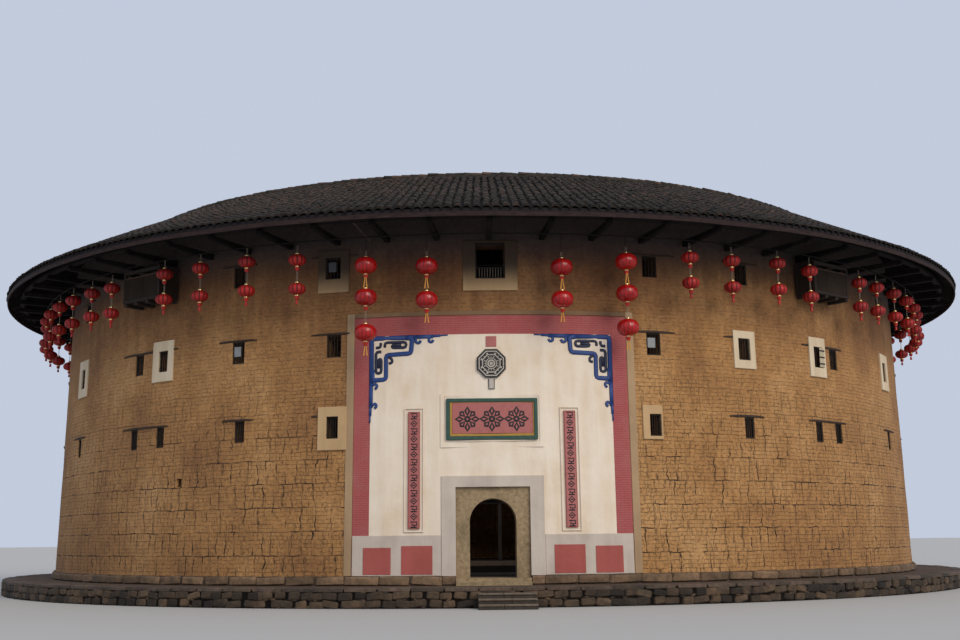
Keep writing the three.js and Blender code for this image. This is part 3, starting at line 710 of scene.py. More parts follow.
# The fold silks, this one and the lacquered one, are darker copies of the lit silks: painted shade in the
# folds.
FOLD_RED = make_silk("shaded_lantern_silk", "6a0b0c", "4a0708", 0.8)
GLOSSY_RED = make_silk("lacquered_lantern_silk", "b01414", "7a0a0e", 0.22)
GLOSSY_FOLD_RED = make_silk("lacquered_lantern_fold_shade", "8c1012", "64090c", 0.35)
TASSEL_GOLD = make_paint("yellow_silk_cord", "cf8f34", "a3752f")
PALE_CORD = make_paint("pale_cotton_cord", "8f8071", "6d6055")
GILT = make_brass()
SIGN_GREEN = make_paint("green_board_paint", "1f443b", "33584c")
SIGN_PINK = make_paint("faded_red_board_paint", "a65f5b", "8e4e4a")
SIGN_GOLD = make_paint("ochre_board_paint", "a9832f", "8a6c30")
MOTIF_INK = make_paint("dark_ink_paint", "12131b", "24242c")
FRET_BLUE = make_paint("blue_lime_paint", "173875", "24477f")
FRET_INK = make_paint("dark_blue_lime_paint", "171b36", "232a4a")
INK_GREY = make_paint("grey_ink_paint", "15161a", "26282c")
PALE_BOARD = make_paint("pale_window_board", "85888a", "6b6c6a")
# A board darker than the pale ones, for a top-storey window.
DARKER_BOARD = make_paint("darker_window_board", "4b4d51", "3b3b3d")
SHUTTER_PAINT = make_paint("cream_shutter_paint", "b3a68c", "8c8068")


# The rammed-earth wall.
def openings():
    """Every window and door through the wall as azimuth, sill, head and width."""
    found = [(0.0, *CENTRE_WINDOW), VENT_HOLE]
    for row in (SECOND_STOREY, THIRD_STOREY, FOURTH_STOREY):
        for azimuth in row[3] + UNSEEN_SIDE:
            at_lookout = min(abs(azimuth - middle) for middle in LOOKOUT_AZIMUTHS.values()) < 6
            if not (row is FOURTH_STOREY and at_lookout):
                found.append((azimuth, *row[:3]))
    return found + [(azimuth, *LOOKOUT_DOOR) for azimuth in LOOKOUT_AZIMUTHS.values()]


WALL_OPENINGS = openings()
WALL_TOP = (roof_top(WALL_FOOT_RADIUS) - ROOF_THICKNESS) / (1 - ROOF_PITCH * WALL_BATTER) - SEAM
# Where the round stretches of the wall end, in degrees from the gate.
ROUND_ENDS = [22, 85.2, 148.4, 175, 211.6, 274.8, 338]


def stations(low, high, fixed, step):
    """Places from low to high no further apart than a step, with all fixed places that lie between."""
    marks = sorted({low, high, *[mark for mark in fixed if low + 0.01 < mark < high - 0.01]})
    spans = [steps_between(a, b, step)[:-1] for a, b in zip(marks, marks[1:])]
    return np.concatenate([*spans, [high]])


def weather_depth(azimuth, height):
    """How far the wall's face has worn in: hollow joints between lifts, slumped patches, mostly low down."""
    joint = 1.0 - np.abs(2.0 * np.mod(height / LIFT, 1.0) - 1.0)
    low_down = np.clip((12.0 - height) / 6.0, 0.15, 1.0)
    rough = swell(azimuth, height, 1.6, seed=3)
    slump = swell(azimuth, height, 0.8, seed=5)
    return 0.003 + low_down * (0.008 * (1.0 - joint) * rough + 0.026 * slump * rough)


def make_wall_piece(part, low, high, bottom=PLINTH_TOP + SEAM):
    """One stretch of wall between two lengths along the ring, windows cut through, worn face outside."""
    cuts = []
    for azimuth, sill, head, width in WALL_OPENINGS:
        middle = along(azimuth if low < along(azimuth) else azimuth + 360)
        if low < middle < high:
            cuts.append((middle - width / 2, middle + width / 2, sill, head))
    half_lifts = range(math.ceil(bottom / LIFT * 2), int(WALL_TOP / LIFT * 2))
    levels = [edge for cut in cuts for edge in cut[2:]] + [k * LIFT / 2 for k in half_lifts]
    columns = stations(low, high, [edge for cut in cuts for edge in cut[:2]], 0.27)
    piece = cut_out(grid(columns, stations(bottom, WALL_TOP, levels, LIFT / 2)), cuts)
    edit(piece, ALL, extrude(-1), ALL, OUTWARD)
    keep_flat_places(piece)
    points = coordinates(piece)
    angle = points[:, 0] / WALL_FOOT_RADIUS
    height = points[:, 1].copy()
    inner = points[:, 2] < -0.5
    radius = np.where(inner, WALL_INNER_RADIUS, wall_radius(height) - weather_depth(angle, height))
    height[inner & (height > WALL_TOP - SEAM)] = roof_top(WALL_INNER_RADIUS) - ROOF_THICKNESS - SEAM
    x, y = radius * np.sin(angle), -radius * np.cos(angle)
    for end in (low, high):
        # The ends beside the gate run straight in, as the jambs do.
        if abs(end) < along(6):
            at_end = np.abs(points[:, 0] - end) < SEAM
            x[at_end] = math.copysign(abs(math.sin(end / WALL_FOOT_RADIUS)) * WALL_FOOT_RADIUS, end)
            y[at_end] = -np.sqrt(radius[at_end] ** 2 - x[at_end] ** 2)
    place_corners(piece, np.stack([x, y, height], axis=1))
    settle(f"earth_{part}", [smooth(paint(piece, EARTH), 35)], "rammed_earth", part)


def make_walls():
    gate_edge = math.asin(GATE_HALF_WIDTH / WALL_FOOT_RADIUS) * WALL_FOOT_RADIUS
    front_end = along(ROUND_ENDS[0])
    make_wall_piece("wall_front_left", -front_end + SEAM, -gate_edge - SEAM)
    make_wall_piece("wall_front_right", gate_edge + SEAM, front_end - SEAM)
    make_wall_piece("wall_over_gate", -gate_edge, gate_edge, GATE_HEAD)
    for i, (start, end) in enumerate(zip(ROUND_ENDS, ROUND_ENDS[1:]), start=1):
        whole_turn = 360 if start > 180 else 0
        make_wall_piece(f"wall_round_{i}", along(start - whole_turn) + SEAM, along(end - whole_turn) - SEAM)


# The tiled roof.
TILE_COURSES = 22
TILE_LIP = 0.019
TILE_BODY = 0.045
TILE_SINK = 0.06
# How far a tile may lie out of line up the slope, out of the slope and sideways.
TILE_STRAY = (0.018, 0.005, 0.013)
# Each slope's eave, its columns of tiles, and one column across as share of its width and height in metres: a
# hollow pan, then the raised cover tile.
OUTER_PROFILE = [(0.0, -0.065), (0.1, -0.055), (0.15, 0.0), (0.3, 0.034)]
OUTER_PROFILE += [(0.5, 0.046), (0.7, 0.034), (0.85, 0.0), (0.9, -0.055)]
INNER_PROFILE = [(0.0, -0.062), (0.12, -0.05), (0.18, 0.01), (0.5, 0.055), (0.82, 0.01), (0.88, -0.05)]
SLOPES = {
    "outer": (OUTER_EAVE_RADIUS, 432, OUTER_PROFILE),
    "inner": (INNER_EAVE_RADIUS, 272, INNER_PROFILE),
}


def make_roof_slope(face, side, middle):
    """A quarter of one slope: lapped courses of pan and cover tiles, none quite in line with the next."""
    eave_radius, columns, profile = SLOPES[face]
    per_quarter = columns // 4
    shares = [column + share for column in range(per_quarter) for share, _ in profile]
    across = np.array(shares + [per_quarter])
    relief = np.array([height for _ in range(per_quarter) for _, height in profile] + [profile[0][1]])
    lip, tucked = 0.02, 0.98
    # Two rows for the underside, a lip and a tucked end for each course, and the closing row at the ridge.
    rows = [-2.0, -1.0] + [course + part for course in range(TILE_COURSES) for part in (lip, tucked)]
    rows = np.array(rows + [TILE_COURSES + 1.0])
    piece = grid(2 * across + 0.5, rows)
    keep_flat_places(piece)
    number, row = (place.ravel() for place in np.meshgrid(np.arange(len(across)), np.arange(len(rows))))
    column = np.floor(across[number]).astype(int) % per_quarter
    cover = (relief[number] > 0).astype(int)
    course = np.clip(np.floor(rows[row]), 0, TILE_COURSES - 1).astype(int)
    on_top = (rows[row] > -0.5) & (rows[row] < TILE_COURSES + 0.5)
    chance = np.random.default_rng(round(eave_radius) + round(middle) + 360)
    slide, lift, sway = (chance.normal(0.0, size, (2, per_quarter, TILE_COURSES)) for size in TILE_STRAY)
    tile = (cover, column, course)
    up_slope = np.where(on_top, np.floor(rows[row]) + (np.mod(rows[row], 1.0) > 0.5), 0.0)
    up_slope[row == 0] = up_slope[row == len(rows) - 1] = TILE_COURSES
    inner_end = (row == 0) | (rows[row] > TILE_COURSES - 0.5)
    radius = eave_radius + (RIDGE_RADIUS - eave_radius) * up_slope / TILE_COURSES
    radius = radius + np.where(on_top & ~inner_end, slide[tile], 0.0)
    angle = np.radians(middle - 45 + across[number] * 360 / columns)
    away_from_ends = (across[number] > 0.5) & (across[number] < per_quarter - 0.5)
    angle = angle + np.where(on_top & away_from_ends, sway[tile] / radius, 0.0)
    lap = TILE_LIP * (np.mod(rows[row], 1.0) < 0.5)
    sag = 0.05 * (swell(angle, radius, 3.0, seed=11) - 0.5)
    above = relief[number] + lap + lift[tile] - TILE_SINK + sag
    height = roof_top(radius) + np.where(on_top, above, 0.9 * relief[number] - TILE_BODY - TILE_SINK)
    place_round(piece, angle, radius, height)
    edit(piece, ALL, MERGE, ALL, FILL, ALL, OUTWARD)
    settle(f"tiled_roof_{face}_{side}", [paint(piece, TILE)], "clay_tile", f"roof_{face}_{side}")


def make_ridge():
    """The ridge: a low mortared curb under a run of half-round tiles, each lapping the next."""
    curb_foot, seat = 14.78, 14.9
    section = [(RIDGE_RADIUS + aside, curb_foot) for aside in (-0.14, 0.14)]
    curb = turned(section + [(RIDGE_RADIUS + aside, seat) for aside in (0.1, -0.1)], 3)
    length = 0.36
    tile = cylinder(10, 0.1, length, rotation=(0, math.pi / 2, 0))
    points = coordinates(tile)
    points[:, 2] = np.maximum(points[:, 2], -0.02)
    points[:, 1:] *= np.where(points[:, :1] > 0, 0.86, 1.08)
    place_corners(tile, points)
    count = round(math.tau * RIDGE_RADIUS / (length * 0.9))
    chance = np.random.default_rng(21)
    places = []
    for i in range(count):
        radius = RIDGE_RADIUS + chance.normal(0, 0.012)
        height = seat + chance.normal(0, 0.006)
        turn = (0, chance.normal(0, 0.014), chance.normal(0, 0.05))
        places.append(around(i * 360 / count, radius, height, turn))
    settle("roof_ridge", [copies(paint(tile, TILE), places), paint(curb, RIDGE_MORTAR)], "clay_tile")


def make_rafters(face, low, high, count):
    """Thin sheathing under the tiles of one slope, on rafters as thick as an arm."""
    sheathing_drop, rafter_drop = 0.17, 0.29
    top = [(radius, roof_top(radius) - sheathing_drop + 0.03) for radius in (low, high)]
    under = [(radius, roof_top(radius) - sheathing_drop) for radius in (high, low)]
    # Painted near-black: partly soot, partly painted shade on the soffit.
    boards = paint(turned(top + under, 3), SMOKE_BLACK_SHADED_TIMBER)
    rafter = block((-0.045, -high, 0.0), (0.045, -low, rafter_drop - sheathing_drop - 0.002), edge=0)
    points = coordinates(rafter)
    points[:, 2] += roof_top(-points[:, 1]) - rafter_drop
    place_corners(rafter, points)
    chance = np.random.default_rng(count)
    turns = [spun((i + chance.normal(0, 0.06)) * 360 / count) for i in range(count)]
    settle(f"rafters_{face}", [copies(paint(rafter, SMOKE_BLACK_SHADED_TIMBER), turns), boards], "aged_timber")


def make_fascia(face, eave, inward):
    """The board along an eave, a little wavy, with a dark strip behind it that keeps the light out of the
    tiles and shows as the shadow line under their ends: painted shadow.
    """
    out, back = eave + 0.01 * inward, eave + 0.05 * inward
    rim = turned([(out, 12.04), (out, 12.18), (back, 12.18), (back, 12.04)], 2)
    points = coordinates(rim)
    points[:, 2] += 0.025 * (swell(np.arctan2(points[:, 0], -points[:, 1]), 0.0, 2.5, seed=31) - 0.5)
    place_corners(rim, points)
    # A dark strip above the board: painted shadow under the tile ends.
    near, far = back + 0.003 * inward, back + 0.016 * inward
    stop = turned([(near, 12.16), (near, 12.305), (far, 12.305), (far, 12.16)], 2)
    settle(f"fascia_{face}", [paint(rim, FASCIA_TIMBER), paint(stop, SMOKE_BLACK_SHADED_TIMBER)], "aged_timber")


def make_roof():
    for side, middle in QUARTERS.items():
        for face in SLOPES:
            make_roof_slope(face, side, middle)
    make_ridge()
    make_rafters("outer", 17.7, 21.38, 340)
    make_rafters("inner", 11.02, 16.1, 204)
    make_fascia("outer", OUTER_EAVE_RADIUS, -1)
    make_fascia("inner", INNER_EAVE_RADIUS, 1)


BEAM_BOTTOM, BEAM_TOP, BEAM_END = 11.9, 12.12, 20.95
PURLIN_RADIUS, PURLIN_HEIGHT, PURLIN_THICKNESS = 20.8, 12.23, 0.12


def make_eave_beams():
    """Each quarter's cantilever beams, hewn a little thinner at their ends, and the log purlin they carry."""
    count = 2 * BAYS
    for side, middle in QUARTERS.items():
        inner_end = -wall_radius(BEAM_BOTTOM) - 0.02
        beam = block((-0.09, -BEAM_END, BEAM_BOTTOM), (0.09, inner_end, BEAM_TOP), 0.02)
        points = coordinates(beam)
        points[:, 2] += np.where((points[:, 1] < -20.0) & (points[:, 2] < 12.0), 0.06, 0.0)
        place_corners(beam, points)
        azimuths = [middle + (i - (count / 4 - 1) / 2) * 360 / count for i in range(count // 4)]
        chance = np.random.default_rng(round(middle) + 400)
        # The beams are painted darker than the soffit round them: painted shade.
        beams = copies(paint(beam, BEAM_TIMBER), [spun(a + chance.normal(0, 0.08)) for a in azimuths])
        section = log(PURLIN_RADIUS, PURLIN_HEIGHT, PURLIN_THICKNESS)
        purlin = paint(turned(section, 3, middle - 45, middle + 45), BEAM_TIMBER)
        settle(f"cantilever_beams_{side}", [beams, purlin], "aged_timber", f"eave_beams_{side}")


def make_strut():
    """A thin stick that props the eave beside the lantern string left of the gate."""
    foot, head = Vector((0.02, -18.72, 11.98)), Vector((0, -20.68, 12.15))
    stick = cylinder(8, 0.028, (head - foot).length)
    points = coordinates(stick)
    points[:, :2] *= np.where(points[:, 2:] > 0, 0.8, 1.0)
    place_corners(stick, points)
    lean = (head - foot).to_track_quat("Z", "Y").to_matrix().to_4x4()
    stick.data.transform(Matrix.Translation((head + foot) / 2) @ lean)
    stick.data.transform(spun(-12.4))
    settle("eave_strut", [smooth(paint(stick, WORN_TIMBER))], "aged_timber")


# Lanterns.
LANTERN_RING_RADIUS = 19.8
RAIL_HEIGHT = 11.86
# From a lantern's middle to where its tassel hangs, on every lantern.
LANTERN_REACH = 0.25
# Two kinds: ribs, depth of the folds between them, half height, radius, gap to the collars, silk, and the
# darker silk of the folds, painted shade.
GLOSSY_LANTERN = (16, 0.01, 0.29, 0.3696, 0.0, GLOSSY_RED, GLOSSY_FOLD_RED)
RIBBED_LANTERN = (10, 0.05, 0.2, 0.297, 0.02, LANTERN_RED, FOLD_RED)
# The glossy strings by the gate: azimuth and the heights of their lanterns' middles.
GATE_STRINGS = {
    -11.9: [10.91, 9.85, 8.68],
    -6.05: [10.81, 9.69],
    6.7: [10.75, 9.68],
    13.05: [11.0, 9.94, 8.8],
}
SIDE_HEIGHTS = [11.32, 10.4]
# The strings beside those: azimuth, and how much lower than the others their two lanterns hang.
FRONT_SIDE_STRINGS = {
    -53.9: (0.03, 0.0),
    -48.6: (0.03, 0.0),
    -44.2: (0.06, 0.08),
    -35.2: (-0.03, -0.04),
    -30.2: (-0.03, 0.03),
    -24.5: (-0.04, 0.04),
    -18.9: (0.07, 0.13),
    19.8: (0.05, 0.0),
    24.6: (0.04, 0.03),
    30.5: (-0.07, -0.06),
    35.2: (0.02, 0.04),
    44.2: (0.06, 0.04),
    48.3: (0.04, 0.02),
    53.6: (0.0, 0.0),
}


def lantern_strings():
    """Every string as azimuth, lantern heights and whether it is one of the glossy ones by the gate."""
    strings = [(azimuth, heights, True) for azimuth, heights in GATE_STRINGS.items()]
    for azimuth, drops in FRONT_SIDE_STRINGS.items():
        strings.append((azimuth, [height - drop for height, drop in zip(SIDE_HEIGHTS, drops)], False))
    azimuth = 59.0
    while azimuth < 180:
        if abs(azimuth - LOOKOUT_AZIMUTHS["back_right"]) >= 4.5:
            strings += [(sign * azimuth, SIDE_HEIGHTS, False) for sign in (-1, 1)]
        # They hang closer together where the wall turns away from the gate front.
        azimuth += 360 / BAYS / (2 if azimuth < 90 else 1)
    return strings


def lantern(ribs, depth, half, radius, gap, silk, fold):
    """One lantern: silk drawn in between its ribs, small gilt collars and a red cup under the lower one."""
    body = primitive(bpy.ops.mesh.primitive_uv_sphere_add, segments=3 * ribs, ring_count=8, radius=1.0)
    points = coordinates(body)
    rib = 1.0 - depth + depth * np.cos(ribs * np.arctan2(points[:, 0], points[:, 1]))
    across = np.maximum(np.hypot(points[:, 0], points[:, 1]), 1e-6)
    fullness = np.sqrt(np.clip(1 - np.abs(points[:, 2]) ** 2.4, 0, 1)) / across
    points[:, :2] *= (fullness * rib * radius)[:, None]
    points[:, 2] *= half
    place_corners(body, points)
    paint(body, silk).data.materials.append(fold)
    # The faces deepest in each fold take the darker silk: painted shade.
    middles = read(body.data.polygons, "center", 3)
    fold_shade_faces = np.cos(ribs * np.arctan2(middles[:, 0], middles[:, 1])) < -0.9
    body.data.polygons.foreach_set("material_index", fold_shade_faces.astype(np.int32))
    end = half + gap
    collars = [bevel(cylinder(14, 0.075, 0.07, location=(0, 0, height)), 0.015) for height in (-end, end)]
    cup = cone(12, 0.055, 0.085, 0.1, -end - 0.086)
    parts = [smooth(paint(collar, GILT)) for collar in collars] + [smooth(paint(cup, LANTERN_RED))]
    return join([smooth(body, 60), *parts])


def tassel(glossy):
    """What hangs under a string's lowest lantern: two gold strands, or a short skirt of red threads."""
    if not glossy:
        return smooth(paint(cone(10, 0.05, 0.035, 0.13, -0.2), LANTERN_RED))
    strands = []
    for lean in (-1, 1):
        strand = cone(6, 0.022, 0.012, 0.38, -0.31)
        points = coordinates(strand)
        points[:, 0] += lean * (0.012 - 0.12 * (points[:, 2] + 0.12))
        place_corners(strand, points)
        strands.append(smooth(paint(strand, TASSEL_GOLD)))
    return join(strands)


def cord(material):
    """A pair of thin cords side by side, one metre long from the top down."""
    pair = [cylinder(5, 0.0065, 1.0, location=(aside, 0, -0.5)) for aside in (-0.022, 0.022)]
    return join([smooth(paint(strand, material)) for strand in pair])


def hang_strings(strings, glossy, chance):
    """Strings of one kind, as azimuth and lantern heights: their lanterns, tassels and cords."""
    ring = LANTERN_RING_RADIUS
    places = []
    for azimuth, heights in strings:
        places += [around(azimuth, ring, height, (0, 0, chance.uniform(0, 1))) for height in heights]
    parts = [copies(lantern(*(GLOSSY_LANTERN if glossy else RIBBED_LANTERN)), places, 60)]
    ends = [(azimuth, heights[-1] - LANTERN_REACH) for azimuth, heights in strings]
    tassels = [around(azimuth, ring, low) for azimuth, low in ends]
    if glossy:
        tassels += [around(azimuth, ring + 0.05, heights[0] - LANTERN_REACH) for azimuth, heights in strings]
    parts.append(copies(tassel(glossy), tassels))
    # The cords' upper ends, up under the eaves, are painted dark: partly soot, partly painted shade.
    shaded_sooty_spans = [(azimuth, heights[0] + 0.5, RAIL_HEIGHT) for azimuth, heights in strings]
    clean = [(azimuth, low, min(RAIL_HEIGHT, top)) for (azimuth, low), (_, top, _) in zip(ends, shaded_sooty_spans)]
    for material, spans in ((SMOKE_BLACK_SHADED_TIMBER, shaded_sooty_spans), (PALE_CORD, clean)):
        lengths = [around(a, ring, high, size=(1, 1, high - low)) for a, low, high in spans if high > low]
        if lengths:
            parts.append(copies(cord(material), lengths))
    return parts


def make_lanterns():
    """The rail under the eaves and the strings of lanterns on it, a quarter at a time."""
    chance = np.random.default_rng(41)
    for side, middle in QUARTERS.items():
        near = [s for s in lantern_strings() if abs((s[0] - middle + 540) % 360 - 180) < 45]
        rail = turned(log(LANTERN_RING_RADIUS, RAIL_HEIGHT, 0.022, 6), 3, middle - 45, middle + 45)
        parts = [paint(rail, SMOKE_BLACK_SHADED_TIMBER)]
        for glossy in (True, False):
            strings = [(azimuth, heights) for azimuth, heights, shiny in near if shiny == glossy]
            if strings:
                parts += hang_strings(strings, glossy, chance)
        settle(f"lantern_strings_{side}", parts, "lantern_silk", f"lanterns_{side}")


# Windows.
WINDOW_SETBACK = 0.085
# Boards behind the bars of a few windows: azimuth, sill and paint.
WINDOW_BOARDS = [(-27.5, 8.07, PALE_BOARD), (17.0, 8.07, PALE_BOARD), (-16.4, 10.75, DARKER_BOARD)]
SHUTTERED_WINDOW = (39.8, 8.07)
# Plastered surrounds: the window's azimuth and row, the azimuths of the sides, bottom, top and coat.
SURROUNDS = [
    (-16.4, FOURTH_STOREY, -18.05, -14.65, 10.28, 11.75, OCHRE_PLASTER),
    (-38.5, THIRD_STOREY, -40.3, -36.85, 7.72, 9.2, CREAM_PLASTER),
    (-58.3, THIRD_STOREY, -60.1, -56.7, 7.72, 9.2, CREAM_PLASTER),
    (28.1, THIRD_STOREY, 26.65, 29.6, 7.77, 9.1, CREAM_PLASTER),
    (39.8, THIRD_STOREY, 38.2, 41.2, 7.72, 9.18, CREAM_PLASTER),
    (58.1, THIRD_STOREY, 56.6, 59.9, 7.72, 9.18, CREAM_PLASTER),
    (-16.2, SECOND_STOREY, -17.75, -14.65, 4.97, 6.41, OCHRE_PLASTER),
    (16.8, SECOND_STOREY, 15.4, 17.6, 5.24, 6.38, OCHRE_PLASTER),
    (0.0, CENTRE_WINDOW, -2.78, 2.78, 10.17, 11.88, OCHRE_PLASTER),
    (90, THIRD_STOREY, 88.2, 91.8, 7.72, 9.18, CREAM_PLASTER),
    (-90, THIRD_STOREY, -91.8, -88.2, 7.72, 9.18, CREAM_PLASTER),
    (136.5, THIRD_STOREY, 134.7, 138.3, 7.72, 9.18, CREAM_PLASTER),
    (-136.5, THIRD_STOREY, -138.3, -134.7, 7.72, 9.18, CREAM_PLASTER),
    (180, SECOND_STOREY, 178.4, 181.6, 4.97, 6.41, OCHRE_PLASTER),
]
# Lintels that run on past their window: azimuth span, and the height of the underside.
LONG_LINTELS = [
    (-46.2, -36.2, 8.83),
    (-45.6, -37.2, 6.08),
    (-18.9, -13.7, 11.5),
    (-18.5, -15.0, 6.08),
    (25.5, 28.6, 8.83),
    (37.0, 44.8, 8.83),
    (37.4, 44.6, 6.08),
]


def window_bars(width, height, bars, rail=None):
    """A timber window: a rebated frame with upright bars, up to its head or only up to a low rail."""
    member = 0.05
    outer, inner = width / 2, width / 2 - member
    spans = [(-outer, -inner, 0, height), (inner, outer, 0, height)]
    spans += [(-inner, inner, 0, member), (-inner, inner, height - member, height)]
    parts = [block((left, -0.035, low), (right, 0.035, high), 0.006) for left, right, low, high in spans]
    if rail:
        parts.append(block((-inner, -0.02, rail), (inner, 0.02, rail + 0.04), 0.006))
    parts = [paint(part, WINDOW_TIMBER) for part in parts]
    gap = 2 * inner / (bars + 1)
    for i in range(bars):
        x = -inner + gap * (i + 1)
        bar = block((x - 0.014, -0.014, member), (x + 0.014, 0.014, rail or height - member), 0.004)
        parts.append(paint(bar, WORN_TIMBER if rail else WINDOW_TIMBER))
    return join(parts)


def make_windows():
    """Timber bars in every opening but the vent, just behind the wall's face, a few with a board behind."""
    sizes = {}
    for azimuth, sill, head, width in WALL_OPENINGS:
        if (azimuth, sill) != VENT_HOLE[:2]:
            sizes.setdefault((width, sill, head), []).append(azimuth)
    parts = []
    for (width, sill, head), azimuths in sizes.items():
        bars, rail = (9, 0.36) if width == CENTRE_WINDOW[2] else (3, None)
        setback = wall_radius(sill) - WINDOW_SETBACK
        places = [around(azimuth, setback, sill) for azimuth in azimuths]
        parts.append(copies(window_bars(width, head - sill, bars, rail), places))
    settle("window_bars", parts, "aged_timber")
    boards = []
    for azimuth, sill, coat in WINDOW_BOARDS:
        board = block((-0.2, -0.032, 0.26), (0.08, -0.017, 0.6), 0.004)
        board.data.transform(around(azimuth, wall_radius(sill) - WINDOW_SETBACK, sill))
        boards.append(paint(board, coat))
    azimuth, sill = SHUTTERED_WINDOW
    leaf = [paint(block((0.02, -0.02, 0.02), (0.3, 0.0, 0.74), 0.005), SHUTTER_PAINT)]
    for height in (0.12, 0.36, 0.6):
        leaf.append(paint(block((0.01, -0.035, height), (0.31, -0.021, height + 0.05), 0.005), DARK_TIMBER))
    shutter = join(leaf)
    shutter.data.transform(around(azimuth, wall_radius(sill) + 0.06, sill))
    settle("window_boards", [*boards, shutter], "painted_board")


def make_surrounds():
    """Lime plaster bands round some of the windows, trowelled on a little proud of the earth."""
    parts = []
    for azimuth, (sill, head, width, *_), left, right, bottom, top, coat in SURROUNDS:
        middle = along(azimuth)
        columns = [along(left), middle - width / 2, middle + width / 2, along(right)]
        parts.append(on_wall(window_frame(columns, [bottom, sill, head, top], -0.06, 0.05, 0.012), coat))
    settle("window_surrounds", parts, "white_plaster")


def make_lintels():
    """Rough fir lintels bedded over the windows, their ends left long."""
    chance = np.random.default_rng(51)
    spans = list(LONG_LINTELS)
    plastered = [(azimuth, row[0]) for azimuth, row, *_ in SURROUNDS]
    for azimuth, sill, head, width in WALL_OPENINGS:
        level = [(low, high) for low, high, under in LONG_LINTELS if abs(head - under) < 0.1]
        covered = any(low - 1 < azimuth < high + 1 for low, high in level)
        if covered or (azimuth, sill) in plastered or width in (LOOKOUT_DOOR[2], VENT_HOLE[3]):
            continue
        half = math.degrees((width / 2 + chance.uniform(0.38, 0.6)) / WALL_FOOT_RADIUS)
        middle = azimuth + chance.uniform(-0.5, 0.5)
        spans.append((middle - half, middle + half, head))
    parts = []
    for low, high, under in spans:
        left, right = along(low), along(high)
        beam = slab((left, under + 0.002, -0.12), (right, under + 0.072, 0.032), 0.012, 0.3)
        points = coordinates(beam)
        off_middle = np.abs(points[:, 0] - (left + right) / 2) / ((right - left) / 2)
        taper = 1.0 - 0.35 * np.clip(off_middle, 0, 1) ** 6
        wave = 0.007 * np.sin(points[:, 0] * chance.uniform(2.0, 4.0))
        points[:, 1] = under + (points[:, 1] - under) * taper + wave * (points[:, 1] > under + 0.04)
        place_corners(beam, points)
        parts.append(on_wall(beam, LINTEL_TIMBER))
    settle("window_lintels", parts, "aged_timber")


# The plastered front.
COAT = 0.04
# The fret's lines in the panel's upper corner: metres inward from its side and down from its top, and width.
FRET_LINES = [
    ([(0.05, 1.6), (0.05, 0.05), (1.5, 0.05)], 0.16),
    ([(0.04, 1.55), (0.03, 2.36)], 0.13),
    ([(0.025, 2.3), (0.01, 2.62)], 0.09),
    ([(0.01, 2.56), (0.0, 2.85)], 0.05),
    ([(1.45, 0.04), (2.12, 0.035)], 0.13),
    ([(2.06, 0.03), (2.36, 0.015)], 0.09),
    ([(2.3, 0.015), (2.6, 0.0)], 0.05),
    ([(0.08, 1.1), (0.08, 1.45), (0.54, 1.43), (0.54, 0.62), (1.38, 0.58), (1.42, 0.08), (1.2, 0.06)], 0.15),
    ([(0.38, 0.5), (0.2, 0.5), (0.2, 1.22), (0.38, 1.22), (0.38, 0.74), (0.29, 0.74), (0.29, 1.05)], 0.1),
    ([(0.5, 0.36), (0.5, 0.2), (1.22, 0.2), (1.22, 0.38), (0.74, 0.38), (0.74, 0.29), (1.05, 0.29)], 0.095),
    ([(0.2, 0.36), (0.36, 0.36), (0.36, 0.2)], 0.095),
    ([(0.06, 1.62), (0.2, 1.55), (0.26, 1.66), (0.17, 1.74)], 0.095),
    ([(0.05, 2.3), (0.18, 2.2), (0.24, 2.3), (0.16, 2.38)], 0.095),
    ([(1.55, 0.06), (1.52, 0.22), (1.66, 0.26), (1.7, 0.16)], 0.095),
    ([(2.0, 0.05), (1.96, 0.2), (2.08, 0.24), (2.12, 0.15)], 0.095),
    ([(0.6, 0.68), (0.74, 0.74), (0.76, 0.88), (0.64, 0.9)], 0.095),
]
FRET_EDGE, FRET_TOP, FRET_TURN = 4.02, 8.68, 0.09


def drawn(points, width, relief, place, material, closed=False):
    """A raised line on the plastered front, moved to its place (along, up, out)."""
    return on_wall(shift(stroke(points, width, relief, closed), *place), material)


def circle(x, y, radius, corners):
    turns = [k * math.tau / corners for k in range(corners)]
    return [(x + radius * math.cos(t), y + radius * math.sin(t)) for t in turns]


def eased(points, reach):
    """A line whose inner corners turn on a small curve instead of at a point."""
    corners = [Vector(point) for point in points]
    path = [corners[0]]
    for before, corner, after in zip(corners, corners[1:], corners[2:]):
        start = corner + (before - corner).normalized() * min(reach, (before - corner).length / 2)
        end = corner + (after - corner).normalized() * min(reach, (after - corner).length / 2)
        path += [start, (start + end + 2 * corner) / 4, end]
    return [tuple(point) for point in [*path, corners[-1]]]


def fret_corner(side):
    """A blue fret of squared scrolls in one upper corner of the white panel, thinning out along its edges."""
    parts = []
    for points, width in FRET_LINES:
        line = [(FRET_EDGE - inward, FRET_TOP - down) for inward, down in eased(points, FRET_TURN)]
        flat = [(side * x * WALL_FOOT_RADIUS / wall_radius(y), y) for x, y in line]
        inner = max(max(point) for point in points) < 1.3
        parts.append(drawn(flat, width, 0.016, (0, 0, COAT + 0.003), FRET_INK if inner else FRET_BLUE))
    return parts


def lotus_motif(size, place):
    """A generic lotus roundel of eight looped petals round a boss."""
    parts = [drawn(circle(0, 0, size * 0.11, 8), size * 0.11, 0.009, place, MOTIF_INK, True)]
    for k in range(8):
        turn = k * math.tau / 8
        tip = 0.56 if k % 2 == 0 else 0.47
        petal = []
        for reach, aside in ((0.2, 0), (0.4, 0.26), (tip, 0), (0.4, -0.26)):
            petal.append((size * reach * math.cos(turn + aside), size * reach * math.sin(turn + aside)))
        parts.append(drawn(petal, size * 0.105, 0.009, place, MOTIF_INK, True))
    return parts


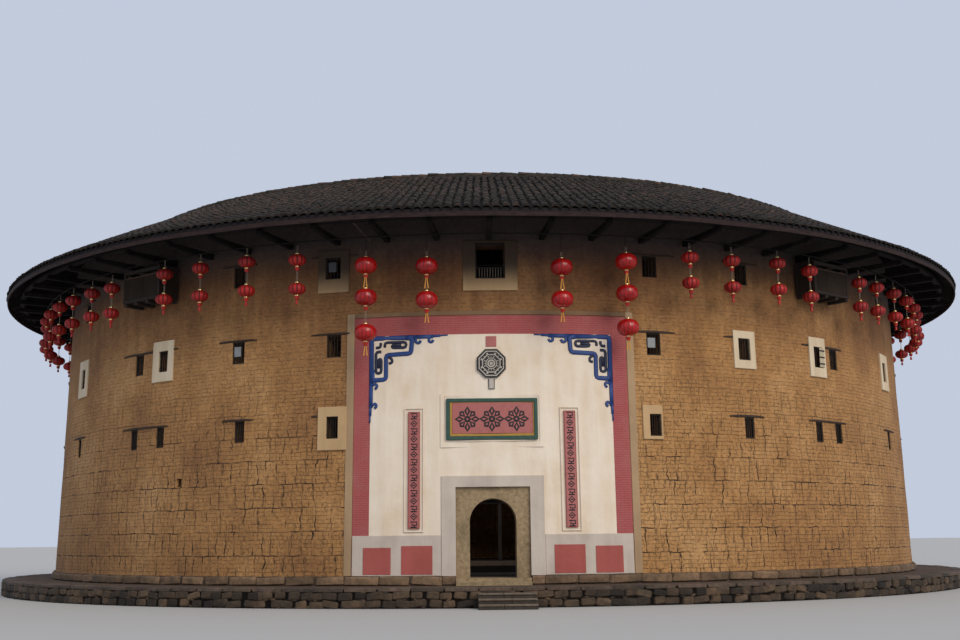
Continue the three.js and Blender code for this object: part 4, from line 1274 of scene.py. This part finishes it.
def make_signboard():
    """The board over the gate: plaster moulding, green frame, gilt fillet and a red field with roundels."""
    half, lower, upper = along(4.5), 5.21, 6.56
    outer, rebate, green = along(5.1), 0.06, 0.12
    # The gilt fillet is thin on the top and right, so that the dark green stands there as painted shade.
    left, right, foot, head = 0.19, 0.15, 0.2, 0.14
    moulding = [-outer, -half - rebate, half + rebate, outer], [4.97, lower - rebate, upper + rebate, 6.72]
    border = [-half, -half + green, half - green, half], [lower, lower + green, upper - green, upper]
    fillet_columns = [-half + green, -half + left, half - right, half - green]
    fillet_rows = [lower + green, lower + foot, upper - head, upper - green]
    back = (-half - 0.058, lower - 0.058, COAT + 0.001), (half + 0.058, upper + 0.058, COAT + 0.015)
    field_near = (-half + left + SEAM, lower + foot + SEAM, COAT + 0.016)
    field_far = (half - right - SEAM, upper - head - SEAM, COAT + 0.05)
    parts = [
        on_wall(window_frame(*moulding, COAT + 0.001, COAT + 0.03), WHITE_PLASTER),
        on_wall(slab(*back), WHITE_PLASTER),
        on_wall(window_frame(*border, COAT + 0.016, COAT + 0.1, 0.015), SIGN_GREEN),
        on_wall(window_frame(fillet_columns, fillet_rows, COAT + 0.016, COAT + 0.07, 0.006), SIGN_GOLD),
        on_wall(slab(field_near, field_far), SIGN_PINK),
    ]
    for x in (-0.8, 0.0, 0.8):
        parts += lotus_motif(0.68, (x, (lower + upper) / 2, COAT + 0.052))
    settle("sign_over_gate", parts, "painted_board", "signboard")


# The strips' two generic marks, a cloud scroll and a lozenge with a bar: their lines and whether they close.
CLOUD = [
    ([(-0.1, 0.08), (0.1, 0.08), (0.1, -0.02), (-0.05, -0.02), (-0.05, 0.03)], False),
    ([(-0.1, -0.09), (0.1, -0.09)], False),
    ([(0.02, -0.02), (0.02, -0.09)], False),
]
LOZENGE = [([(0, 0.1), (0.1, 0), (0, -0.1), (-0.1, 0)], True), ([(-0.04, 0), (0.04, 0)], False)]


def make_strip(side, middle):
    """A tall red strip beside the gate in a thin plaster frame, with a column of lozenges and clouds."""
    x, half, frame_half = along(middle), along(0.54), along(0.98)
    bottom, top, frame_bottom, frame_top = 2.4, 6.14, 2.28, 6.28
    thin, lip = 0.035, 0.012
    columns = [x - frame_half, x - frame_half + thin, x + frame_half - thin, x + frame_half]
    rows = [frame_bottom, frame_bottom + thin, frame_top - thin, frame_top]
    edge_columns = [x - half - lip, x - half, x + half, x + half + lip]
    edge_rows = [bottom - lip, bottom, top, top + lip]
    parts = [
        on_wall(window_frame(columns, rows, COAT + 0.001, COAT + 0.03), WHITE_PLASTER),
        on_wall(slab((x - half, bottom, COAT + 0.001), (x + half, top, COAT + 0.045)), SIGN_PINK),
        on_wall(window_frame(edge_columns, edge_rows, COAT + 0.001, COAT + 0.05, 0.004), PINK_PLAIN),
    ]
    marks = 15
    pitch = (top - bottom) / marks
    for i in range(marks):
        y = bottom + (i + 0.5) * pitch
        for line, closed in LOZENGE if i % 2 else CLOUD:
            points = [(x + across, y + up) for across, up in line]
            parts.append(drawn(points, 0.042, 0.007, (0, 0, COAT + 0.046), MOTIF_INK, closed))
    settle(f"gate_strip_{side}", parts, "pink_plaster", f"door_strip_{side}")


def make_plaque():
    """The eight-sided plaque with rings of broken and whole bars, on a short stem under a small red tag."""
    height, face, eighth = 7.71, COAT + 0.062, math.pi / 4
    on_face = (0, 0, face)
    disc = bevel(cylinder(8, 0.5, 0.05, rotation=(0, 0, eighth / 2)), 0.012)
    parts = [on_wall(shift(disc, 0, height, face - 0.025), PLAQUE_STONE)]
    for size, width in ((0.485, 0.06), (0.395, 0.034), (0.275, 0.034), (0.155, 0.03)):
        turns = [eighth / 2 + k * eighth for k in range(8)]
        ring = [(size * math.cos(t), height + size * math.sin(t)) for t in turns]
        parts.append(drawn(ring, width, 0.008, on_face, INK_GREY, True))
    for radius, reach, broken in ((0.44, 0.13, 1), (0.33, 0.1, 0), (0.21, 0.07, 1)):
        for k in range(8):
            out = k * eighth
            centre = Vector((radius * math.sin(out), height + radius * math.cos(out)))
            side = Vector((math.cos(out), -math.sin(out)))
            halves = [(-1.0, -0.15), (0.15, 1.0)] if (k + broken) % 2 else [(-1.0, 1.0)]
            for half in halves:
                bar = [tuple(centre + side * reach * end) for end in half]
                parts.append(drawn(bar, 0.045, 0.008, on_face, INK_GREY))
    parts.append(drawn(circle(0, height, 0.07, 10), 0.022, 0.008, on_face, INK_GREY, True))
    parts.append(on_wall(slab((-0.09, 6.87, COAT + 0.002), (0.09, 7.22, COAT + 0.03)), PLAQUE_STONE))
    stem_line = [(-0.09, 7.2), (-0.09, 6.87), (0.09, 6.87), (0.09, 7.2)]
    parts.append(drawn(stem_line, 0.03, 0.01, (0, 0, COAT + 0.03), INK_GREY))
    parts.append(on_wall(slab((-0.175, 8.27, COAT + 0.002), (0.175, 8.62, COAT + 0.02)), SIGN_PINK))
    settle("octagon_plaque", parts, "painted_board", "trigram_plaque")


def make_dado():
    """The grey dado along the foot of the front, on both sides of the gate, with its red panels."""
    parts = []
    for side in (-1, 1):
        near, far = sorted((side * 1.67, side * along(13.85)))
        dado = slab((near, PLINTH_TOP + 0.01, COAT + 0.001), (far, 2.18, COAT + 0.018))
        parts.append(on_wall(dado, GREY_PLASTER))
        for inner, outer, low, high in ((1.95, 2.96, 0.95, 1.85), (3.3, 4.22, 0.95, 1.8)):
            near, far = sorted((side * inner, side * outer))
            parts.append(on_wall(slab((near, low, COAT + 0.02), (far, high, COAT + 0.032)), PINK_PLAIN))
    settle("front_dado", parts, "grey_plaster")


def make_front():
    """All that is painted or laid on the plastered front, and the lean coat along its edges."""
    settle("fret_corners", fret_corner(-1) + fret_corner(1), "painted_board")
    make_signboard()
    make_strip("left", -7.7)
    make_strip("right", 7.7)
    make_plaque()
    make_dado()
    foot, under, top, inner, outer = PLINTH_TOP + 0.01, 9.35, 9.5, 13.95, 14.75
    parts = []
    for left, right, bottom, coat in (
        (-outer, -inner, foot, EDGE_PLASTER),
        (inner, outer, foot, EDGE_PLASTER),
        (-inner, inner, under, THIN_COAT),
    ):
        parts.append(on_wall(slab((along(left), bottom, -0.03), (along(right), top, 0.02)), coat))
    settle("border_edge_coat", parts, "white_plaster")


# The stone base.
def rounded_stone(size):
    """A field stone: a cube with all its edges knocked off and its corners out of true."""
    stone = bevel(block([-s / 2 for s in size], [s / 2 for s in size], edge=0), min(size) * 0.34)
    points = coordinates(stone)
    place_corners(stone, points * np.random.default_rng(61).uniform(0.9, 1.1, points.shape))
    return smooth(stone, 50)


def make_base():
    """Two courses of rubble with chinks between them, the coping over them and the wall's footing stones."""
    chance = np.random.default_rng(71)
    stones = []
    for course, (height, count) in enumerate(((0.13, 284), (0.38, 300))):
        for i in range(count):
            size = (chance.uniform(0.76, 1.2), 1.0, chance.uniform(0.84, 1.1))
            azimuth = (i + 0.5 * (course % 2) + chance.normal(0, 0.12)) * 360 / count
            middle = height + chance.normal(0, 0.018)
            turn = (0, chance.normal(0, 0.13), 0)
            stones.append(around(azimuth, TERRACE_RADIUS - 0.02, middle, turn, size))
    rubble = copies(paint(rounded_stone((0.45, 0.14, 0.25)), RUBBLE), stones)
    wedges = []
    for _ in range(420):
        azimuth, height = chance.uniform(0, 360), chance.choice([0.05, 0.25, 0.27, 0.49])
        wedges.append(around(azimuth, TERRACE_RADIUS - 0.015, height, (0, chance.uniform(-0.5, 0.5), 0)))
    chinks = copies(paint(rounded_stone((0.16, 0.11, 0.08)), RUBBLE), wedges)
    settle("terrace_rubble", [rubble, chinks], "rubble_stone")
    slabs = 128
    tops = []
    for i in range(slabs):
        azimuth = i * 360 / slabs + chance.normal(0, 0.06)
        height = TERRACE_TOP - 0.045 + chance.normal(0, 0.006)
        size = (chance.uniform(0.94, 0.99), 1, 1)
        tops.append(around(azimuth, TERRACE_RADIUS - 0.24, height, (0, 0, 0), size))
    coping = block((-0.515, -0.27, -0.06), (0.515, 0.27, 0.06), 0.02)
    settle("terrace_coping", [copies(paint(coping, COPING), tops)], "rubble_stone")
    feet = 112
    gate_clear = math.degrees(GATE_HALF_WIDTH / WALL_FOOT_RADIUS) + 1.1
    radius, height = wall_radius(TERRACE_TOP) + 0.045, (TERRACE_TOP + PLINTH_TOP) / 2
    footing = []
    for azimuth in (i * 360 / feet for i in range(feet)):
        if abs((azimuth + 180) % 360 - 180) > gate_clear:
            turn = (0, chance.normal(0, 0.03), 0)
            size = (chance.uniform(0.85, 1.1), 1, chance.uniform(0.85, 1.02))
            footing.append(around(azimuth, radius, height, turn, size))
    # Short stones close the gaps beside the gate's jambs.
    footing += [around(azimuth, radius, height, size=(0.4, 1, 0.96)) for azimuth in (-4.28, 4.28)]
    stone = paint(rounded_stone((1.02, 0.14, 0.29)), FOOTING)
    settle("wall_footing", [copies(stone, footing)], "rubble_stone")


def make_steps():
    """Three worn stone treads, each with a small nosing over its riser, the risers of a darker stone as
    painted shade.
    """
    centre, half, going, rises, nosing, thickness = 0.35, 0.88, 0.33, 4, 0.035, 0.055
    parts = []
    for step in range(1, rises):
        back = -TERRACE_RADIUS + 0.02 if step == rises - 1 else -TERRACE_RADIUS - (rises - step - 1) * going
        front = -TERRACE_RADIUS - (rises - step) * going
        height = step * TERRACE_TOP / rises
        joint = centre + 0.12 * (-1) ** step
        for left, right in ((centre - half, joint - 0.003), (joint + 0.003, centre + half)):
            top = height - thickness - SEAM
            riser = block((left, front + nosing, 0.002), (right, back - 0.002, top), 0.01)
            tread = block((left, front, height - thickness), (right, back - 0.002, height), 0.014)
            # Risers darker than treads: painted shade.
            parts += [paint(riser, SHADED_RISER_STONE), paint(tread, TREAD_STONE)]
    settle("stone_steps", parts, "granite", "front_steps")


# The lookouts.
def make_lookouts():
    """Boxes of plastered wattle in a timber frame, on joists out of the wall, a slot under the top plate."""
    half, front, back = 1.06, 19.6, wall_radius(10.5) + 0.03
    floor, parapet, plate, top = 10.72, 11.5, 11.68, 11.8
    joists = (-0.95, -0.32, 0.32, 0.95)
    post, beam = 0.12, 0.14
    timbers = [((x - 0.07, -front + 0.02, 10.5), (x + 0.07, -back, 10.62), 0.015) for x in joists]
    timbers.append(((-half, -front, 10.621), (half, -back, floor), 0.01))
    for x in (-half, half - post):
        timbers.append(((x, -front, floor), (x + post, -front + post, plate), 0.012))
        timbers.append(((x, -back - post, floor), (x + post, -back, plate), 0.012))
    timbers.append(((-half, -front, plate), (half, -front + beam, top), 0.012))
    for x in (-half, half - beam):
        timbers.append(((x, -front + beam + SEAM, plate), (x + beam, -back, top), 0.012))
    panels = [((-half + post, -front + 0.015, floor), (half - post, -front + 0.1, parapet), 0.01)]
    for x in (-half + 0.015, half - 0.1):
        panels.append(((x, -front + post, floor), (x + 0.085, -back - post, parapet), 0.01))
    rail = ((-half + post, -front + 0.002, parapet), (half - post, -front + post, parapet + 0.05), 0.008)
    for corner, azimuth in LOOKOUT_AZIMUTHS.items():
        parts = [paint(block(*timber), DARK_TIMBER) for timber in timbers]
        parts += [paint(block(*panel), WATTLE) for panel in panels]
        piece = join([*parts, paint(block(*rail), TIMBER)])
        piece.data.transform(spun(azimuth))
        settle(f"timber_lookout_{corner}", [piece], "aged_timber", f"lookout_{corner}")


# The courtyard side.
def make_galleries():
    """Floors on joists with a boarded rail along the courtyard."""
    bay = 360 / BAYS
    edge = GALLERY_EDGE_RADIUS
    inner_face = edge * math.cos(math.pi / BAYS)
    boards_per_bay = 14
    width = 2 * edge * math.sin(math.pi / BAYS) / boards_per_bay
    for storey, top in enumerate(FLOOR_TOPS, start=2):
        sections = [
            square(edge, 17.6, top - 0.05, top),
            square(edge + 0.02, edge + 0.1, top - 0.22, top - 0.051),
            square(edge, edge + 0.12, top + 0.92, top + 1.0),
            square(edge + 0.02, edge + 0.1, top + 0.1, top + 0.17),
        ]
        parts = [paint(turned(section, bay), TIMBER) for section in sections]
        places = []
        for i in range(BAYS):
            for k in range(boards_per_bay):
                spot = ((k + 0.5 - boards_per_bay / 2) * width, -inner_face - 0.06, top)
                places.append(spun((i + 0.5) * bay) @ Matrix.Translation(spot))
        board = paint(block((-width * 0.3, -0.02, 0.17), (width * 0.3, 0.02, 0.92), 0.006), TIMBER)
        parts.append(copies(board, places))
        joist = paint(block((-0.06, -17.55, top - 0.2), (0.06, -edge - 0.1, top - 0.052), 0), DARK_TIMBER)
        parts.append(copies(joist, [spun(i * bay / 3) for i in range(3 * BAYS)]))
        settle(f"gallery_{storey}", parts, "aged_timber", f"gallery_floor_{storey}")


def dress_cad_nodes():
    """Finishes for the solids whose own shape is right."""
    finishes = {
        "facade_plaster": WHITE_PLASTER,
        "facade_border": PINK_WASH,
        "gate_surround": GREY_PLASTER,
        "gate_sill": GRANITE,
        "gate_jamb_left": GRANITE,
        "gate_jamb_right": GRANITE,
        "gate_arch": GRANITE,
    }
    for side in QUARTERS:
        finishes[f"stone_base_{side}"] = TERRACE_CORE
    for storey in range(1, 5):
        # The ground storey's posts get the darkest fir: painted shade under the galleries, seen through the
        # gate.
        finishes[f"gallery_posts_{storey}"] = WINDOW_TIMBER if storey == 1 else TIMBER
    for name, material in finishes.items():
        paint(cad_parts[name], material)


def make_stage():
    """A plain pale floor, soft sky light and a wide low sun from the right of the gate."""
    floor = primitive(bpy.ops.mesh.primitive_plane_add, size=600)
    floor.name = "stage_floor"
    material, tree = surface("stage_grey", 0.95)
    tree.nodes["Principled BSDF"].inputs["Base Color"].default_value = srgb("b4b2ae")
    paint(floor, material)
    floor.location.z = -0.002
    world = bpy.data.worlds.new("studio")
    bpy.context.scene.world = world
    world.use_nodes = True
    background = world.node_tree.nodes["Background"]
    background.inputs["Color"].default_value = srgb("bec7d8")
    background.inputs["Strength"].default_value = 1.05
    sun = bpy.data.objects.new("sun", bpy.data.lights.new("sun", "SUN"))
    sun.data.energy = 1.9
    sun.data.angle = math.radians(40)
    sun.data.color = (1.0, 0.9, 0.76)
    sun.rotation_euler = (math.radians(58), 0, math.radians(32))
    bpy.context.collection.objects.link(sun)


def make_camera():
    """The photograph's view: low, a little left of the gate's axis, looking up at the eaves."""
    camera = bpy.data.objects.new("camera", bpy.data.cameras.new("camera"))
    camera.data.lens = 46.725
    camera.data.sensor_width = 36
    camera.data.clip_end = 1000
    turn = spun(-0.89) @ Matrix.Rotation(math.radians(99.95), 4, "X")
    camera.matrix_world = Matrix.Translation((-0.4918, -29.661, 1.03)) @ turn @ spun(-0.59)
    bpy.context.collection.objects.link(camera)
    bpy.context.scene.camera = camera
    bpy.context.scene.view_settings.view_transform = "Standard"


make_camera()
make_stage()
dress_cad_nodes()
make_walls()
make_roof()
make_eave_beams()
make_strut()
make_lanterns()
make_windows()
make_surrounds()
make_lintels()
make_front()
make_base()
make_steps()
make_lookouts()
make_galleries()
